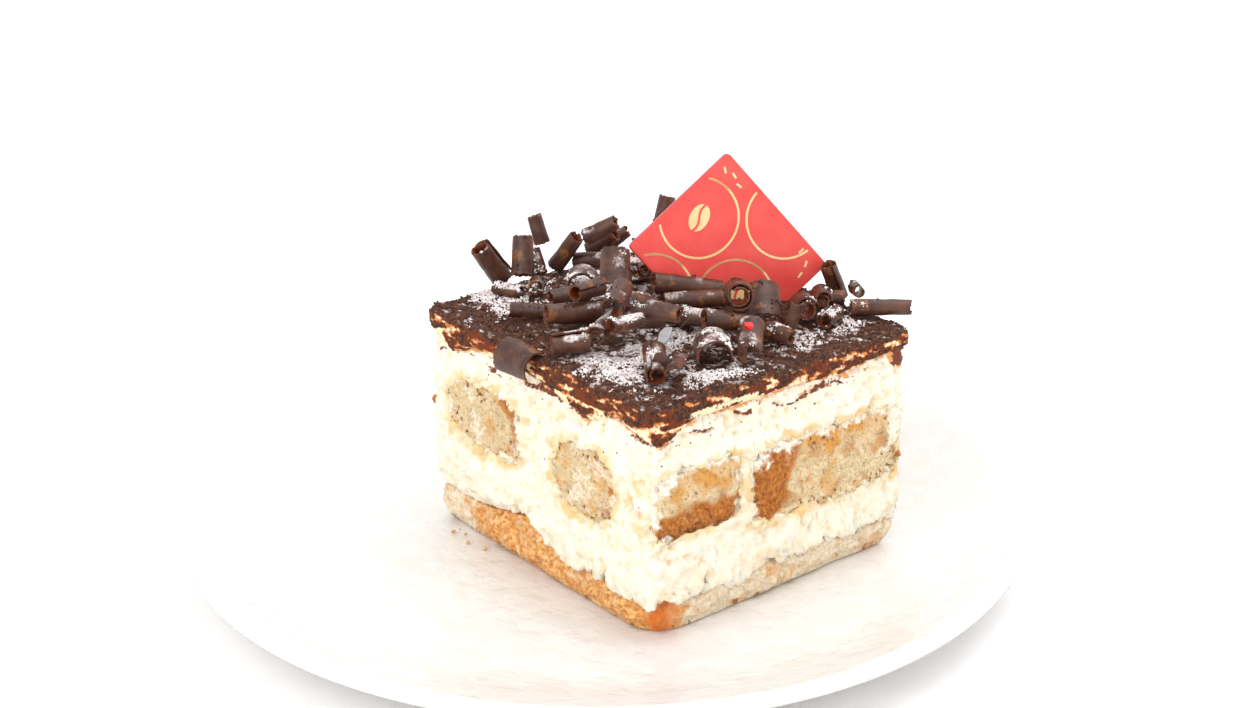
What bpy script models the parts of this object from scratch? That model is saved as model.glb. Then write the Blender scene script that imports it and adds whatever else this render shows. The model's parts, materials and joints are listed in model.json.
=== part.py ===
"""A square-cut slice of tiramisu on a shallow coupe plate, topped with chocolate curls and a chocolate plaque.

Metres, +Z up. The origin is under the plate's centre, on the surface that its foot stands on.
The slice's two freshly cut faces look along -Y and +X. Every piece is a closed solid of its own.
"""

from math import cos, exp, pi, radians, sin, sqrt, tau

import bmesh
import bpy
from mathutils import Euler, Matrix, Vector, noise
from mathutils.bvhtree import BVHTree

MM = 0.001
GAP = 0.3 * MM  # clearance between pieces that touch

# Plate
PLATE_RADIUS = 81.3 * MM
PLATE_SIDES = 48
RIM_TOP = 11.9 * MM
LIP_WIDTH = 3.4 * MM
LIP_DEPTH = 2.6 * MM
FLOOR_TOP = 5.0 * MM
FLOOR_THICKNESS = 3.2 * MM
FLOOR_RADIUS = 57.0 * MM
FOOT_RADIUS = 47.0 * MM
FOOT_WIDTH = 3.5 * MM

# Slice, with heights counted from the plate's floor
SLICE_LENGTH = 67.2 * MM  # along X
SLICE_WIDTH = 62.7 * MM  # along Y
SLICE_HEIGHT = 44.4 * MM
SLICE_CENTRE = Vector((11.8 * MM, 5.0 * MM))
CORNER_RADIUS = 2.2 * MM
SIDE_STEPS = 9
CORNER_STEPS = 2
BASE_HEIGHT = 7.4 * MM
CREAM_SHOULDER = 36.0 * MM
SKIRT_INSET = 0.8 * MM
COCOA_THICKNESS = 1.2 * MM
MOUND_HEIGHT = 4.2 * MM
MOUND_CENTRE = Vector((6.0 * MM, 8.0 * MM))
MOUND_SPREAD = Vector((18.0 * MM, 17.0 * MM))

# Ladyfingers: X or Y ranges from the slice's front corner, heights from the plate's floor
FINGER_STEPS = 14
LEFT_FINGER = {"x": (-61.0, -37.0), "z": (18.6, 33.2)}
MIDDLE_FINGER = {"x": (-28.0, -10.5), "z": (16.8, 32.2)}
FRONT_PIECE = {"y": (1.8, 20.4), "z": (17.8, 31.8), "depth": 9.0}
BACK_PIECE = {"y": (23.6, 60.6), "z": (14.2, 30.6), "depth": 9.0}

# Plaque: a flat square of moulded chocolate, standing on one corner
PLAQUE_WIDTH = 25.4 * MM
PLAQUE_HEIGHT = 29.0 * MM
PLAQUE_THICKNESS = 1.8 * MM
PLAQUE_CORNER = 0.8 * MM
PLAQUE_CENTRE = Vector((13.9, 18.7, 53.9)) * MM
PLAQUE_HEADING = -28.0
PLAQUE_LEAN = 10.0
PLAQUE_ROLL = 40.4

# Chocolate curls
SHAVING = 0.55 * MM
WINDING_PITCH = 0.8 * MM
SMALLEST_EYE = 0.25 * MM
STEPS_PER_TURN = 8
END_WEAR = 0.4 * MM
END_TAPER = 0.88
UNWOUND = 0.1
DROP_START = 70.0 * MM
DROP_STEP = 0.25 * MM
STRAIGHT_DOWN = Vector((0.0, 0.0, -1.0))

# Each row is x, y (mm), heading, tilt, roll (degrees), length, radius (mm) and turns.
# A heading of 0 points the curl's axis along +X, and a tilt of 90 stands it upright.
CURLS = (
    (-1.5, -16.5, 50, -2, 60, 7.0, 1.6, 1.2),
    (17.5, -21.5, 245, 0, 90, 6.5, 2.3, 1.1),
    (-10.0, -8.5, -39, 10, 0, 5.5, 1.9, 1.2),
    (0.5, -8.5, 70, 4, 20, 7.5, 2.1, 1.1),
    (8.5, -14.0, -112, 3, 200, 10.0, 2.4, 1.3),
    (19.5, -15.0, 118, 4, 0, 9.0, 2.0, 0.7),
    (24.5, -14.5, 84, 0, -30, 6.5, 1.8, 0.9),
    (21.5, -7.5, 34, 6, 10, 7.5, 2.4, 0.8),
    (34.0, -16.0, -38, -8, 120, 9.0, 2.3, 1.3),
    (38.5, -15.0, -48, 6, 60, 8.0, 2.6, 0.25),
    (35.5, -4.5, -39, 5, 0, 7.5, 3.7, 0.55),
    (38.0, 2.0, -44, -16, 20, 8.5, 2.6, 0.65),
    (32.0, 21.0, -36, 12, 40, 6.5, 2.6, 1.5),
    (35.5, 24.5, -66, 0, 150, 6.0, 1.9, 1.3),
    (31.0, 26.5, -39, 8, 0, 6.0, 2.0, 1.5),
    (38.0, 35.0, 52, 0, 0, 11.0, 1.9, 1.3),
    (28.5, 31.5, 50, 0, 0, 5.0, 1.9, 1.2),
    (22.5, 1.0, 30, 0, 0, 8.0, 2.1, 1.1),
    (28.0, -9.0, 20, 0, 30, 6.0, 1.9, 1.0),
    (31.0, 2.5, 60, -6, 0, 7.5, 2.2, 0.9),
    (-15.0, 8.5, 30, 10, 70, 6.5, 1.9, 1.1),
    (-14.5, -12.0, 30, 0, 0, 5.5, 1.5, 0.9),
    (-18.5, 26.0, 60, 0, 40, 6.0, 1.7, 1.1),
    (8.5, -10.5, -75, 6, 40, 7.5, 2.0, 1.0),
    (18.5, -11.5, 128, 8, 10, 8.5, 2.3, 0.8),
    (13.5, -3.0, 24, -4, 30, 8.0, 2.4, 1.4),
    (18.5, 7.0, 55, 3, 0, 12.0, 2.0, 1.3),
    (27.0, 15.5, 141, 38, 0, 7.5, 3.8, 0.5),
    (29.5, 7.0, -39, 14, 250, 7.0, 3.0, 1.7),
    (36.5, 10.5, 10, 0, 30, 5.5, 1.8, 0.9),
    (34.5, 14.5, 20, 74, 200, 6.5, 2.6, 0.25),
    (-4.5, -2.0, -39, 8, 0, 7.5, 3.4, 0.55),
    (-5.0, 10.0, 50, 0, 120, 8.0, 1.7, 1.3),
    (2.0, 4.0, -39, 12, 0, 6.0, 1.7, 1.2),
    (3.5, 7.0, -39, 12, 180, 6.0, 1.9, 1.3),
    (6.0, -2.0, 141, 50, 0, 7.5, 3.2, 0.5),
    (14.0, 8.5, 62, -10, 0, 13.0, 2.3, 1.2),
    (-19.5, 18.0, 50, 40, 0, 7.5, 1.7, 1.2),
    (-16.0, -7.0, 141, 64, 0, 7.5, 2.4, 1.1),
    (-21.0, -11.0, 262, 56, 90, 8.5, 2.6, 1.3),
    (-17.5, 4.5, 30, 55, 0, 8.0, 2.1, 1.2),
    (-20.0, -1.0, 170, 56, 0, 5.0, 1.9, 1.1),
    (-21.5, 0.5, 200, 72, 0, 5.5, 2.0, 1.1),
    (26.5, 34.0, 262, 66, 0, 7.5, 2.0, 1.3),
    (32.5, 34.5, -39, 12, 90, 5.5, 1.6, 1.2),
    (-19.0, 31.0, 100, 72, 0, 8.0, 2.1, 1.2),
    (-13.5, 10.0, 40, 30, 0, 7.0, 2.0, 1.2),
    (-18.5, 14.5, 30, 35, 0, 7.0, 2.0, 1.2),
)
EDGE_FLAKE = (10.0, -34.0, 0, 0, 60, 8.5, 3.6, 0.42)
FLAKE_HEIGHT = 50.0 * MM
FLAKE_PUSH = Vector((0.0, 1.0, -1.0)).normalized()

MATERIALS = {
    "glazed_porcelain": ((0.86, 0.86, 0.84), 0.25),
    "soaked_sponge": ((0.55, 0.27, 0.09), 0.75),
    "mascarpone_cream": ((0.90, 0.83, 0.66), 0.55),
    "ladyfinger_sponge": ((0.62, 0.42, 0.22), 0.85),
    "cocoa_powder": ((0.10, 0.04, 0.02), 0.95),
    "dark_chocolate": ((0.09, 0.035, 0.02), 0.40),
    "red_printed_chocolate": ((0.80, 0.07, 0.06), 0.40),
}


def clear_scene():
    for obj in list(bpy.data.objects):
        bpy.data.objects.remove(obj, do_unlink=True)


def make_materials():
    for name, (colour, roughness) in MATERIALS.items():
        material = bpy.data.materials.new(name)
        material.use_nodes = True
        shader = material.node_tree.nodes["Principled BSDF"]
        shader.inputs["Base Color"].default_value = (*colour, 1.0)
        shader.inputs["Roughness"].default_value = roughness
        shader.inputs["Metallic"].default_value = 0.0


def new_object(name, bm, material, sharp_angle=40.0):
    """Turns a bmesh into a smooth-shaded object with its faces pointing out."""
    bmesh.ops.recalc_face_normals(bm, faces=bm.faces)
    mesh = bpy.data.meshes.new(name)
    bm.to_mesh(mesh)
    bm.free()
    mesh.materials.append(bpy.data.materials[material])
    mesh.shade_smooth()
    mesh.set_sharp_from_angle(angle=radians(sharp_angle))
    obj = bpy.data.objects.new(name, mesh)
    bpy.context.scene.collection.objects.link(obj)
    return obj


def new_cutter(name, bm, material):
    obj = new_object(name, bm, material)
    obj.hide_render = True
    obj.display_type = "WIRE"
    return obj


def cut(target, cutter):
    boolean = target.modifiers.new(cutter.name, "BOOLEAN")
    boolean.operation = "DIFFERENCE"
    boolean.solver = "EXACT"
    boolean.object = cutter


# ---------------------------------------------------------------- plate


def well_height(radius):
    """Height of the plate's upper face: a flat floor, then a rise that steepens up to the lip."""
    rise = max(0.0, radius - FLOOR_RADIUS) / (PLATE_RADIUS - LIP_WIDTH - FLOOR_RADIUS)
    return FLOOR_TOP + (RIM_TOP - 0.5 * MM - FLOOR_TOP) * min(rise, 1.0) ** 1.8


def plate_profile():
    """The plate's section as (radius, height) points, from the underside's middle round to the floor's middle."""
    underside = FLOOR_TOP - FLOOR_THICKNESS
    foot_inside = FOOT_RADIUS - FOOT_WIDTH
    well_radius = PLATE_RADIUS - LIP_WIDTH
    points = [
        (0.0, underside),
        (foot_inside - 1.5 * MM, underside),
        (foot_inside, 0.0),
        (FOOT_RADIUS, 0.0),
        (FOOT_RADIUS + 2.0 * MM, underside),
    ]
    for radius in (FLOOR_RADIUS, FLOOR_RADIUS + 0.55 * (well_radius - FLOOR_RADIUS)):
        points.append((radius, well_height(radius) - FLOOR_THICKNESS + 0.3 * MM))
    middle = RIM_TOP - LIP_DEPTH / 2
    for degrees in (-90, -40, 10, 60, 110):
        angle = radians(degrees)
        points.append(
            (
                PLATE_RADIUS - LIP_WIDTH / 2 + LIP_WIDTH / 2 * cos(angle),
                middle + LIP_DEPTH / 2 * sin(angle),
            )
        )
    for fraction in (1.0, 0.66, 0.33, 0.0):
        radius = FLOOR_RADIUS + fraction * (well_radius - FLOOR_RADIUS)
        points.append((radius, well_height(radius)))
    points.append((0.0, FLOOR_TOP))
    return points


def make_plate():
    bm = bmesh.new()
    verts = [bm.verts.new((radius, 0.0, height)) for radius, height in plate_profile()]
    edges = [bm.edges.new(pair) for pair in zip(verts, verts[1:])]
    bmesh.ops.spin(
        bm,
        geom=verts + edges,
        cent=(0.0, 0.0, 0.0),
        axis=(0.0, 0.0, 1.0),
        angle=tau,
        steps=PLATE_SIDES,
        use_merge=True,
    )
    bmesh.ops.remove_doubles(bm, verts=bm.verts, dist=0.001 * MM)
    return new_object("plate", bm, "glazed_porcelain")


# ---------------------------------------------------------------- layers of the slice


def slice_outline():
    """Points round the slice with their outward normals, anticlockwise from the left end of the -Y face."""
    half = Vector((SLICE_LENGTH, SLICE_WIDTH)) / 2
    outline = []
    for side in range(4):
        turn = Matrix.Rotation(side * pi / 2, 2)
        reach, depth = (half.x, half.y) if side % 2 == 0 else (half.y, half.x)
        flat = reach - CORNER_RADIUS
        for step in range(SIDE_STEPS):
            along = -flat + 2 * flat * step / SIDE_STEPS
            outline.append((turn @ Vector((along, -depth)), turn @ Vector((0.0, -1.0))))
        middle = Vector((flat, CORNER_RADIUS - depth))
        for step in range(CORNER_STEPS):
            angle = -pi / 2 + (pi / 2) * step / CORNER_STEPS
            normal = Vector((cos(angle), sin(angle)))
            outline.append((turn @ (middle + CORNER_RADIUS * normal), turn @ normal))
    return outline


def loop(height, inset=0.0, scale=1.0, rough=0.0):
    """One loop round the slice: inset from its cut faces or scaled towards its middle, at a height or height rule."""
    points = []
    for place, normal in slice_outline():
        spot = place * scale - normal * inset + SLICE_CENTRE
        level = height(spot) if callable(height) else height
        wave = noise.noise(Vector((spot.x, spot.y, level)) / (9.0 * MM))
        spot = spot + normal * (rough * wave)
        points.append(Vector((spot.x, spot.y, FLOOR_TOP + level)))
    return points


def layer(name, loops, material):
    """A closed solid through loops of equal length, closed by a fan of triangles at each end."""
    bm = bmesh.new()
    rows = [[bm.verts.new(point) for point in points] for points in loops]
    count = len(rows[0])
    for lower, upper in zip(rows, rows[1:]):
        for i in range(count):
            j = (i + 1) % count
            bm.faces.new((lower[i], lower[j], upper[j], upper[i]))
    for row in (rows[0], rows[-1]):
        middle = bm.verts.new(sum((vert.co for vert in row), Vector()) / count)
        for i in range(count):
            bm.faces.new((row[i], row[(i + 1) % count], middle))
    return new_object(name, bm, material)


def base_top(spot):
    """Top of the soaked base: level inside, and lifted where the base is thicker along the -Y face."""
    corner = SLICE_CENTRE + Vector((SLICE_LENGTH, -SLICE_WIDTH)) / 2
    lift = exp(-(((spot.x - corner.x + 38.0 * MM) / (7.0 * MM)) ** 2))
    near_face = exp(-(((spot.y - corner.y) / (10.0 * MM)) ** 2))
    return BASE_HEIGHT + 3.6 * MM * lift * near_face


def top_height(spot):
    """Top of the cocoa: nearly level, with a low mound under the heap of curls."""
    away = (spot - MOUND_CENTRE) * Vector((1 / MOUND_SPREAD.x, 1 / MOUND_SPREAD.y))
    wave = 0.35 * MM * noise.noise(Vector((spot.x, spot.y, 0.0)) / (11.0 * MM))
    return SLICE_HEIGHT - 0.1 * MM + MOUND_HEIGHT * exp(-away.length_squared) + wave


def cream_top(spot):
    return top_height(spot) - COCOA_THICKNESS - GAP


def cocoa_underside(spot):
    return top_height(spot) - COCOA_THICKNESS


def skirt_edge(spot):
    """Where the cocoa's edge ends on the cut faces: mostly near the top, with a few deeper runs."""
    corner = SLICE_CENTRE + Vector((SLICE_LENGTH, -SLICE_WIDTH)) / 2
    wave = 1.2 * MM * noise.noise(Vector((spot.x, spot.y, 3.0 * MM)) / (5.0 * MM))
    runs = ((-57.0, 0.0, 3.2), (-19.0, 0.0, 4.6), (0.0, 3.0, 3.6))
    drop = 1.4 * MM
    for x, y, depth in runs:
        away = (spot - corner - Vector((x, y)) * MM).length / (4.0 * MM)
        drop += depth * MM * exp(-(away**2))
    return 42.0 * MM - drop + wave


INNER_SCALES = (0.84, 0.64, 0.44, 0.24)


def make_base():
    loops = [
        loop(GAP, scale=0.84),
        loop(GAP, inset=2.6 * MM),
        loop(2.6 * MM, inset=1.7 * MM, rough=0.8 * MM),
        loop(5.4 * MM, inset=1.5 * MM, rough=0.8 * MM),
        loop(base_top, inset=1.9 * MM),
        loop(base_top, scale=0.84),
    ]
    return layer("base_sponge", loops, "soaked_sponge")


def make_cream():
    def on_base(spot):
        return base_top(spot) + GAP

    def above_base(spot):
        return base_top(spot) + 2.6 * MM

    loops = [loop(on_base, scale=0.84), loop(on_base, inset=1.9 * MM)]
    loops.append(loop(above_base, inset=0.3 * MM, rough=0.8 * MM))
    for height, inset in ((16.0, 0.1), (21.0, 0.5), (28.0, 0.4), (33.0, 0.3)):
        loops.append(loop(height * MM, inset=inset * MM, rough=0.9 * MM))
    loops.append(loop(CREAM_SHOULDER, inset=SKIRT_INSET + GAP))
    loops.append(loop(cream_top, inset=SKIRT_INSET + GAP))
    loops += [loop(cream_top, scale=scale) for scale in INNER_SCALES]
    return layer("cream", loops, "mascarpone_cream")


def make_cocoa():
    def upper_edge(spot):
        return top_height(spot) - 0.8 * MM

    loops = [loop(cocoa_underside, scale=scale) for scale in reversed(INNER_SCALES)]
    loops += [
        loop(cocoa_underside, inset=SKIRT_INSET),
        loop(skirt_edge, inset=SKIRT_INSET),
        loop(skirt_edge),
        loop(upper_edge),
        loop(top_height, inset=0.9 * MM),
    ]
    loops += [loop(top_height, scale=scale) for scale in INNER_SCALES]
    return layer("cocoa_topping", loops, "cocoa_powder")


# ---------------------------------------------------------------- ladyfingers


def finger_section(width, height):
    """A ladyfinger's cross-section: an oval with a flattened underside."""
    section = []
    for step in range(FINGER_STEPS):
        angle = tau * (step + 0.5) / FINGER_STEPS
        across = abs(cos(angle)) ** 0.8 * (1 if cos(angle) > 0 else -1)
        up = abs(sin(angle)) ** 0.8 * (1 if sin(angle) > 0 else -0.85)
        section.append((width / 2 * across, height / 2 * up))
    return section


def finger_mesh(name, x_range, y_range, z_range, clearance, cut_at=None, taper=1.0):
    """A ladyfinger along Y with its section wavering a little. cut_at is the X of a lengthwise cut."""
    (x0, x1), (y0, y1), (z0, z1) = x_range, y_range, z_range
    rows = 7
    bm = bmesh.new()
    loops = []
    for row in range(rows):
        fraction = row / (rows - 1)
        narrow = taper if row in (0, rows - 1) else 1.0
        wave = 1.0 + 0.04 * noise.noise(Vector((x0 / MM, 9.0 * fraction, z0 / MM)))
        width = (x1 - x0) * wave * narrow + 2 * clearance
        height = (z1 - z0) * wave * narrow + 2 * clearance
        y = y0 + (y1 - y0) * fraction
        verts = []
        for across, up in finger_section(width, height):
            x = (x0 + x1) / 2 + across
            if cut_at is not None:
                x = min(x, cut_at)
            verts.append(bm.verts.new((x, y, FLOOR_TOP + (z0 + z1) / 2 + up)))
        loops.append(verts)
    for first, second in zip(loops, loops[1:]):
        for i in range(FINGER_STEPS):
            j = (i + 1) % FINGER_STEPS
            bm.faces.new((first[i], first[j], second[j], second[i]))
    bm.faces.new(loops[0])
    bm.faces.new(loops[-1])
    bmesh.ops.remove_doubles(bm, verts=bm.verts, dist=0.001 * MM)
    return bm


def make_fingers(cream):
    """Two fingers that run through the slice, and two pieces that the +X cut opens lengthwise."""
    corner = SLICE_CENTRE + Vector((SLICE_LENGTH, -SLICE_WIDTH)) / 2
    rear = corner.y + SLICE_WIDTH
    for name, finger in (("finger_left", LEFT_FINGER), ("finger_middle", MIDDLE_FINGER)):
        x_range = [corner.x + x * MM for x in finger["x"]]
        z_range = [z * MM for z in finger["z"]]
        inside = (corner.y + 0.5 * MM, rear - 0.5 * MM)
        through = (corner.y - 3 * MM, rear + 3 * MM)
        bm = finger_mesh(name, x_range, inside, z_range, 0.0)
        new_object(name, bm, "ladyfinger_sponge")
        bm = finger_mesh(name, x_range, through, z_range, GAP)
        cut(cream, new_cutter(name + "_tunnel", bm, "mascarpone_cream"))
    pieces = (("finger_right_front", FRONT_PIECE), ("finger_right_back", BACK_PIECE))
    for name, finger in pieces:
        depth = finger["depth"] * MM
        x_range = (corner.x - depth, corner.x + depth)
        y_range = [corner.y + y * MM for y in finger["y"]]
        z_range = [z * MM for z in finger["z"]]
        face = corner.x - 0.5 * MM
        bm = finger_mesh(name, x_range, y_range, z_range, 0.0, cut_at=face, taper=0.8)
        new_object(name, bm, "ladyfinger_sponge")
        y_range = (y_range[0] - GAP, y_range[1] + GAP)
        bm = finger_mesh(name, x_range, y_range, z_range, GAP, cut_at=corner.x + 3 * MM, taper=0.8)
        cut(cream, new_cutter(name + "_pocket", bm, "mascarpone_cream"))


# ---------------------------------------------------------------- plaque


def plaque_mesh(clearance):
    bm = bmesh.new()
    bmesh.ops.create_cube(bm, size=1.0)
    size = Vector((PLAQUE_THICKNESS, PLAQUE_WIDTH, PLAQUE_HEIGHT)) + Vector((2 * clearance,) * 3)
    bmesh.ops.scale(bm, vec=size, verts=bm.verts)
    upright = [edge for edge in bm.edges if abs(edge.verts[0].co.x - edge.verts[1].co.x) > PLAQUE_THICKNESS / 2]
    bmesh.ops.bevel(bm, geom=upright, offset=PLAQUE_CORNER, segments=2, profile=0.5, affect="EDGES")
    return bm


def make_plaque(carriers):
    """The plaque, pushed corner first through the cocoa into the cream."""
    turn = Euler((radians(PLAQUE_ROLL), radians(-PLAQUE_LEAN), radians(PLAQUE_HEADING)))
    place = Matrix.Translation(PLAQUE_CENTRE + Vector((0.0, 0.0, FLOOR_TOP))) @ turn.to_matrix().to_4x4()
    plaque = new_object("plaque", plaque_mesh(0.0), "red_printed_chocolate")
    plaque.matrix_world = place
    slot = new_cutter("plaque_slot", plaque_mesh(GAP), "mascarpone_cream")
    slot.matrix_world = place
    for carrier in carriers:
        cut(carrier, slot)


# ---------------------------------------------------------------- curls


def curl_mesh(length, radius, turns, number):
    """A shaving rolled up about local X: a strip that winds inwards, with uneven ends and a slight taper.

    It stops winding where its own inner turn would close the eye in the middle.
    """
    room = END_TAPER * radius - SHAVING - SMALLEST_EYE
    turns = min(turns, UNWOUND + room / WINDING_PITCH)
    steps = max(2, round(turns * STEPS_PER_TURN))
    bm = bmesh.new()
    rows = []
    for step in range(steps + 1):
        turned = turns * step / steps
        angle = tau * turned
        outer = radius - WINDING_PITCH * max(0.0, turned - UNWOUND)
        wear = END_WEAR * noise.noise(Vector((number * 3.7, turned * 4.0, 0.5)))
        row = []
        for side, taper in ((-0.5, 1.0), (0.5, END_TAPER)):
            for depth in (0.0, SHAVING):
                reach = outer * taper - depth
                x = side * (length + wear)
                row.append(bm.verts.new((x, reach * cos(angle), reach * sin(angle))))
        rows.append(row)
    for first, second in zip(rows, rows[1:]):
        for a, b in ((0, 2), (2, 3), (3, 1), (1, 0)):
            bm.faces.new((first[a], first[b], second[b], second[a]))
    for row in (rows[0], rows[-1]):
        bm.faces.new((row[0], row[2], row[3], row[1]))
    return bm


def world_tree(obj, graph):
    """The object's evaluated faces in world space, for finding contact."""
    evaluated = obj.evaluated_get(graph)
    mesh = evaluated.to_mesh()
    points = [evaluated.matrix_world @ vert.co for vert in mesh.vertices]
    faces = [tuple(face.vertices) for face in mesh.polygons]
    evaluated.to_mesh_clear()
    return points, faces


def settle(curl, turn, start, direction, obstacles):
    """Moves the curl from start along direction until it meets an obstacle, then backs it off by the clearance."""
    shape = [turn @ vert.co for vert in curl.data.vertices]
    faces = [tuple(face.vertices) for face in curl.data.polygons]
    travelled = 0.0
    while travelled < DROP_START:
        travelled += DROP_STEP
        spot = start + direction * travelled
        tree = BVHTree.FromPolygons([point + spot for point in shape], faces)
        if any(tree.overlap(obstacle) for obstacle in obstacles):
            break
    spot = start + direction * (travelled - DROP_STEP - GAP)
    curl.location = spot
    curl.rotation_euler = turn.to_euler()
    obstacles.append(BVHTree.FromPolygons([point + spot for point in shape], faces))


def place_curl(name, row, number, height, direction, obstacles):
    x, y, heading, tilt, roll, length, radius, turns = row
    bm = curl_mesh(length * MM, radius * MM, turns, number)
    curl = new_object(name, bm, "dark_chocolate", sharp_angle=50.0)
    turn = Euler((radians(roll), radians(-tilt), radians(heading))).to_matrix()
    settle(curl, turn, Vector((x * MM, y * MM, FLOOR_TOP + height)), direction, obstacles)


def make_curls(supports):
    bpy.context.view_layer.update()
    graph = bpy.context.evaluated_depsgraph_get()
    obstacles = [BVHTree.FromPolygons(*world_tree(obj, graph)) for obj in supports]
    place_curl("edge_flake", EDGE_FLAKE, 0, FLAKE_HEIGHT, FLAKE_PUSH, obstacles)
    for number, row in enumerate(CURLS, start=1):
        name = f"curl_{number:02d}"
        place_curl(name, row, number, DROP_START, STRAIGHT_DOWN, obstacles)


def main():
    clear_scene()
    make_materials()
    make_plate()
    make_base()
    cream = make_cream()
    cocoa = make_cocoa()
    make_fingers(cream)
    make_plaque((cream, cocoa))
    make_curls((cocoa, cream))


main()
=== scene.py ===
"""The looks of a tiramisu slice on a coupe plate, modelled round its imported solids.

Sizes named with _MM are millimetres. A place on the slice is a vector in millimetres from the slice's front
corner at the plate's floor, so its x is negative, and its z is the height above the floor.
"""

import json
from math import cos, exp, hypot, pi, radians, sin, tau
from random import Random

import bmesh
import bpy
from mathutils import Euler, Matrix, Vector, noise
from mathutils.bvhtree import BVHTree

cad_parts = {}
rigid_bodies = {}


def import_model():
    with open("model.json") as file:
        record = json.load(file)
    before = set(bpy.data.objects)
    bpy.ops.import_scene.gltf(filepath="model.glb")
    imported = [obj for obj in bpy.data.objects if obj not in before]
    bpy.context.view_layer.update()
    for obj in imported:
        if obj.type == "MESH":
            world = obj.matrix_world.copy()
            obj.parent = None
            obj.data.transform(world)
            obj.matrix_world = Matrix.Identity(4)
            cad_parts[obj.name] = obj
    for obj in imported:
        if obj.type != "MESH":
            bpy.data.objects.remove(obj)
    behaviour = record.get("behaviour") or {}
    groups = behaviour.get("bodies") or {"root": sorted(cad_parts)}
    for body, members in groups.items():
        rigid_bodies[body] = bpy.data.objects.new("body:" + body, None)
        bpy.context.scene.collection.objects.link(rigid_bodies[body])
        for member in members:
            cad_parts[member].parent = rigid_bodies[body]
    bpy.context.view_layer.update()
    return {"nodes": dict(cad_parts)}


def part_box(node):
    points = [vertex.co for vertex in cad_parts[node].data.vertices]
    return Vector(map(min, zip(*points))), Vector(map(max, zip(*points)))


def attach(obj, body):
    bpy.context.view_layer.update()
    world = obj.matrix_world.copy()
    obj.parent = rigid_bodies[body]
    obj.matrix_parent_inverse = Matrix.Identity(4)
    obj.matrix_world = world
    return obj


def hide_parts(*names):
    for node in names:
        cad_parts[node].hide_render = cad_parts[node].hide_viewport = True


bl_info = {
    "name": "Tiramisu Slice",
    "version": (1, 0, 0),
    "blender": (4, 5, 0),
    "location": "View3D > Sidebar > Tiramisu",
    "description": "Builds a plated tiramisu slice with chocolate curls round its packed solids",
    "category": "Object",
}

MM = 0.001
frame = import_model()
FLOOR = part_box("base_sponge")[0].z
CORNER = Vector((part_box("cocoa_topping")[1].x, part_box("cocoa_topping")[0].y, FLOOR))

# The slice along X and along Y, how round the base's front corner is worn, and how far down the cocoa comes.
WIDE_MM = 67.2
DEEP_MM = 62.7
BASE_CORNER_MM = 9.0
COCOA_EDGE_MM = 40.4

# Curls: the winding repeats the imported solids' own, and their places come from the solids' boxes.
SHAVING_MM = 0.55
WINDING_PITCH_MM = 0.8
SMALLEST_EYE_MM = 0.25
END_WEAR_MM = 0.4
END_TAPER = 0.88
UNWOUND = 0.1
STEPS_PER_TURN = 44

# Heading, tilt, roll (degrees), length, radius (mm) and turns of curl_01, curl_02 and so on.
CURLS = (
    (50, -2, 60, 7.0, 1.6, 1.2),
    (245, 0, 90, 6.5, 2.3, 1.1),
    (-39, 10, 0, 5.5, 1.9, 1.2),
    (70, 4, 20, 7.5, 2.1, 1.1),
    (-112, 3, 200, 10.0, 2.4, 1.3),
    (118, 4, 0, 9.0, 2.0, 0.7),
    (84, 0, -30, 6.5, 1.8, 0.9),
    (34, 6, 10, 7.5, 2.4, 0.8),
    (-38, -8, 120, 9.0, 2.3, 1.3),
    (-48, 6, 60, 8.0, 2.6, 0.25),
    (-39, 5, 0, 7.5, 3.7, 0.55),
    (-44, -16, 20, 8.5, 2.6, 0.65),
    (-36, 12, 40, 6.5, 2.6, 1.5),
    (-66, 0, 150, 6.0, 1.9, 1.3),
    (-39, 8, 0, 6.0, 2.0, 1.5),
    (52, 0, 0, 11.0, 1.9, 1.3),
    (50, 0, 0, 5.0, 1.9, 1.2),
    (30, 0, 0, 8.0, 2.1, 1.1),
    (20, 0, 30, 6.0, 1.9, 1.0),
    (60, -6, 0, 7.5, 2.2, 0.9),
    (30, 10, 70, 6.5, 1.9, 1.1),
    (30, 0, 0, 5.5, 1.5, 0.9),
    (60, 0, 40, 6.0, 1.7, 1.1),
    (-75, 6, 40, 7.5, 2.0, 1.0),
    (128, 8, 10, 8.5, 2.3, 0.8),
    (24, -4, 30, 8.0, 2.4, 1.4),
    (55, 3, 0, 12.0, 2.0, 1.3),
    (141, 38, 0, 7.5, 3.8, 0.5),
    (-39, 14, 250, 7.0, 3.0, 1.7),
    (10, 0, 30, 5.5, 1.8, 0.9),
    (20, 74, 200, 6.5, 2.6, 0.25),
    (-39, 8, 0, 7.5, 3.4, 0.55),
    (50, 0, 120, 8.0, 1.7, 1.3),
    (-39, 12, 0, 6.0, 1.7, 1.2),
    (-39, 12, 180, 6.0, 1.9, 1.3),
    (141, 50, 0, 7.5, 3.2, 0.5),
    (62, -10, 0, 13.0, 2.3, 1.2),
    (50, 40, 0, 7.5, 1.7, 1.2),
    (141, 64, 0, 7.5, 2.4, 1.1),
    (262, 56, 90, 8.5, 2.6, 1.3),
    (30, 55, 0, 8.0, 2.1, 1.2),
    (170, 56, 0, 5.0, 1.9, 1.1),
    (200, 72, 0, 5.5, 2.0, 1.1),
    (262, 66, 0, 7.5, 2.0, 1.3),
    (-39, 12, 90, 5.5, 1.6, 1.2),
    (100, 72, 0, 8.0, 2.1, 1.2),
    (40, 30, 0, 7.0, 2.0, 1.2),
    (30, 35, 0, 7.0, 2.0, 1.2),
)
EDGE_FLAKE = (0, 0, 60, 8.5, 3.6, 0.42)

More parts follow.
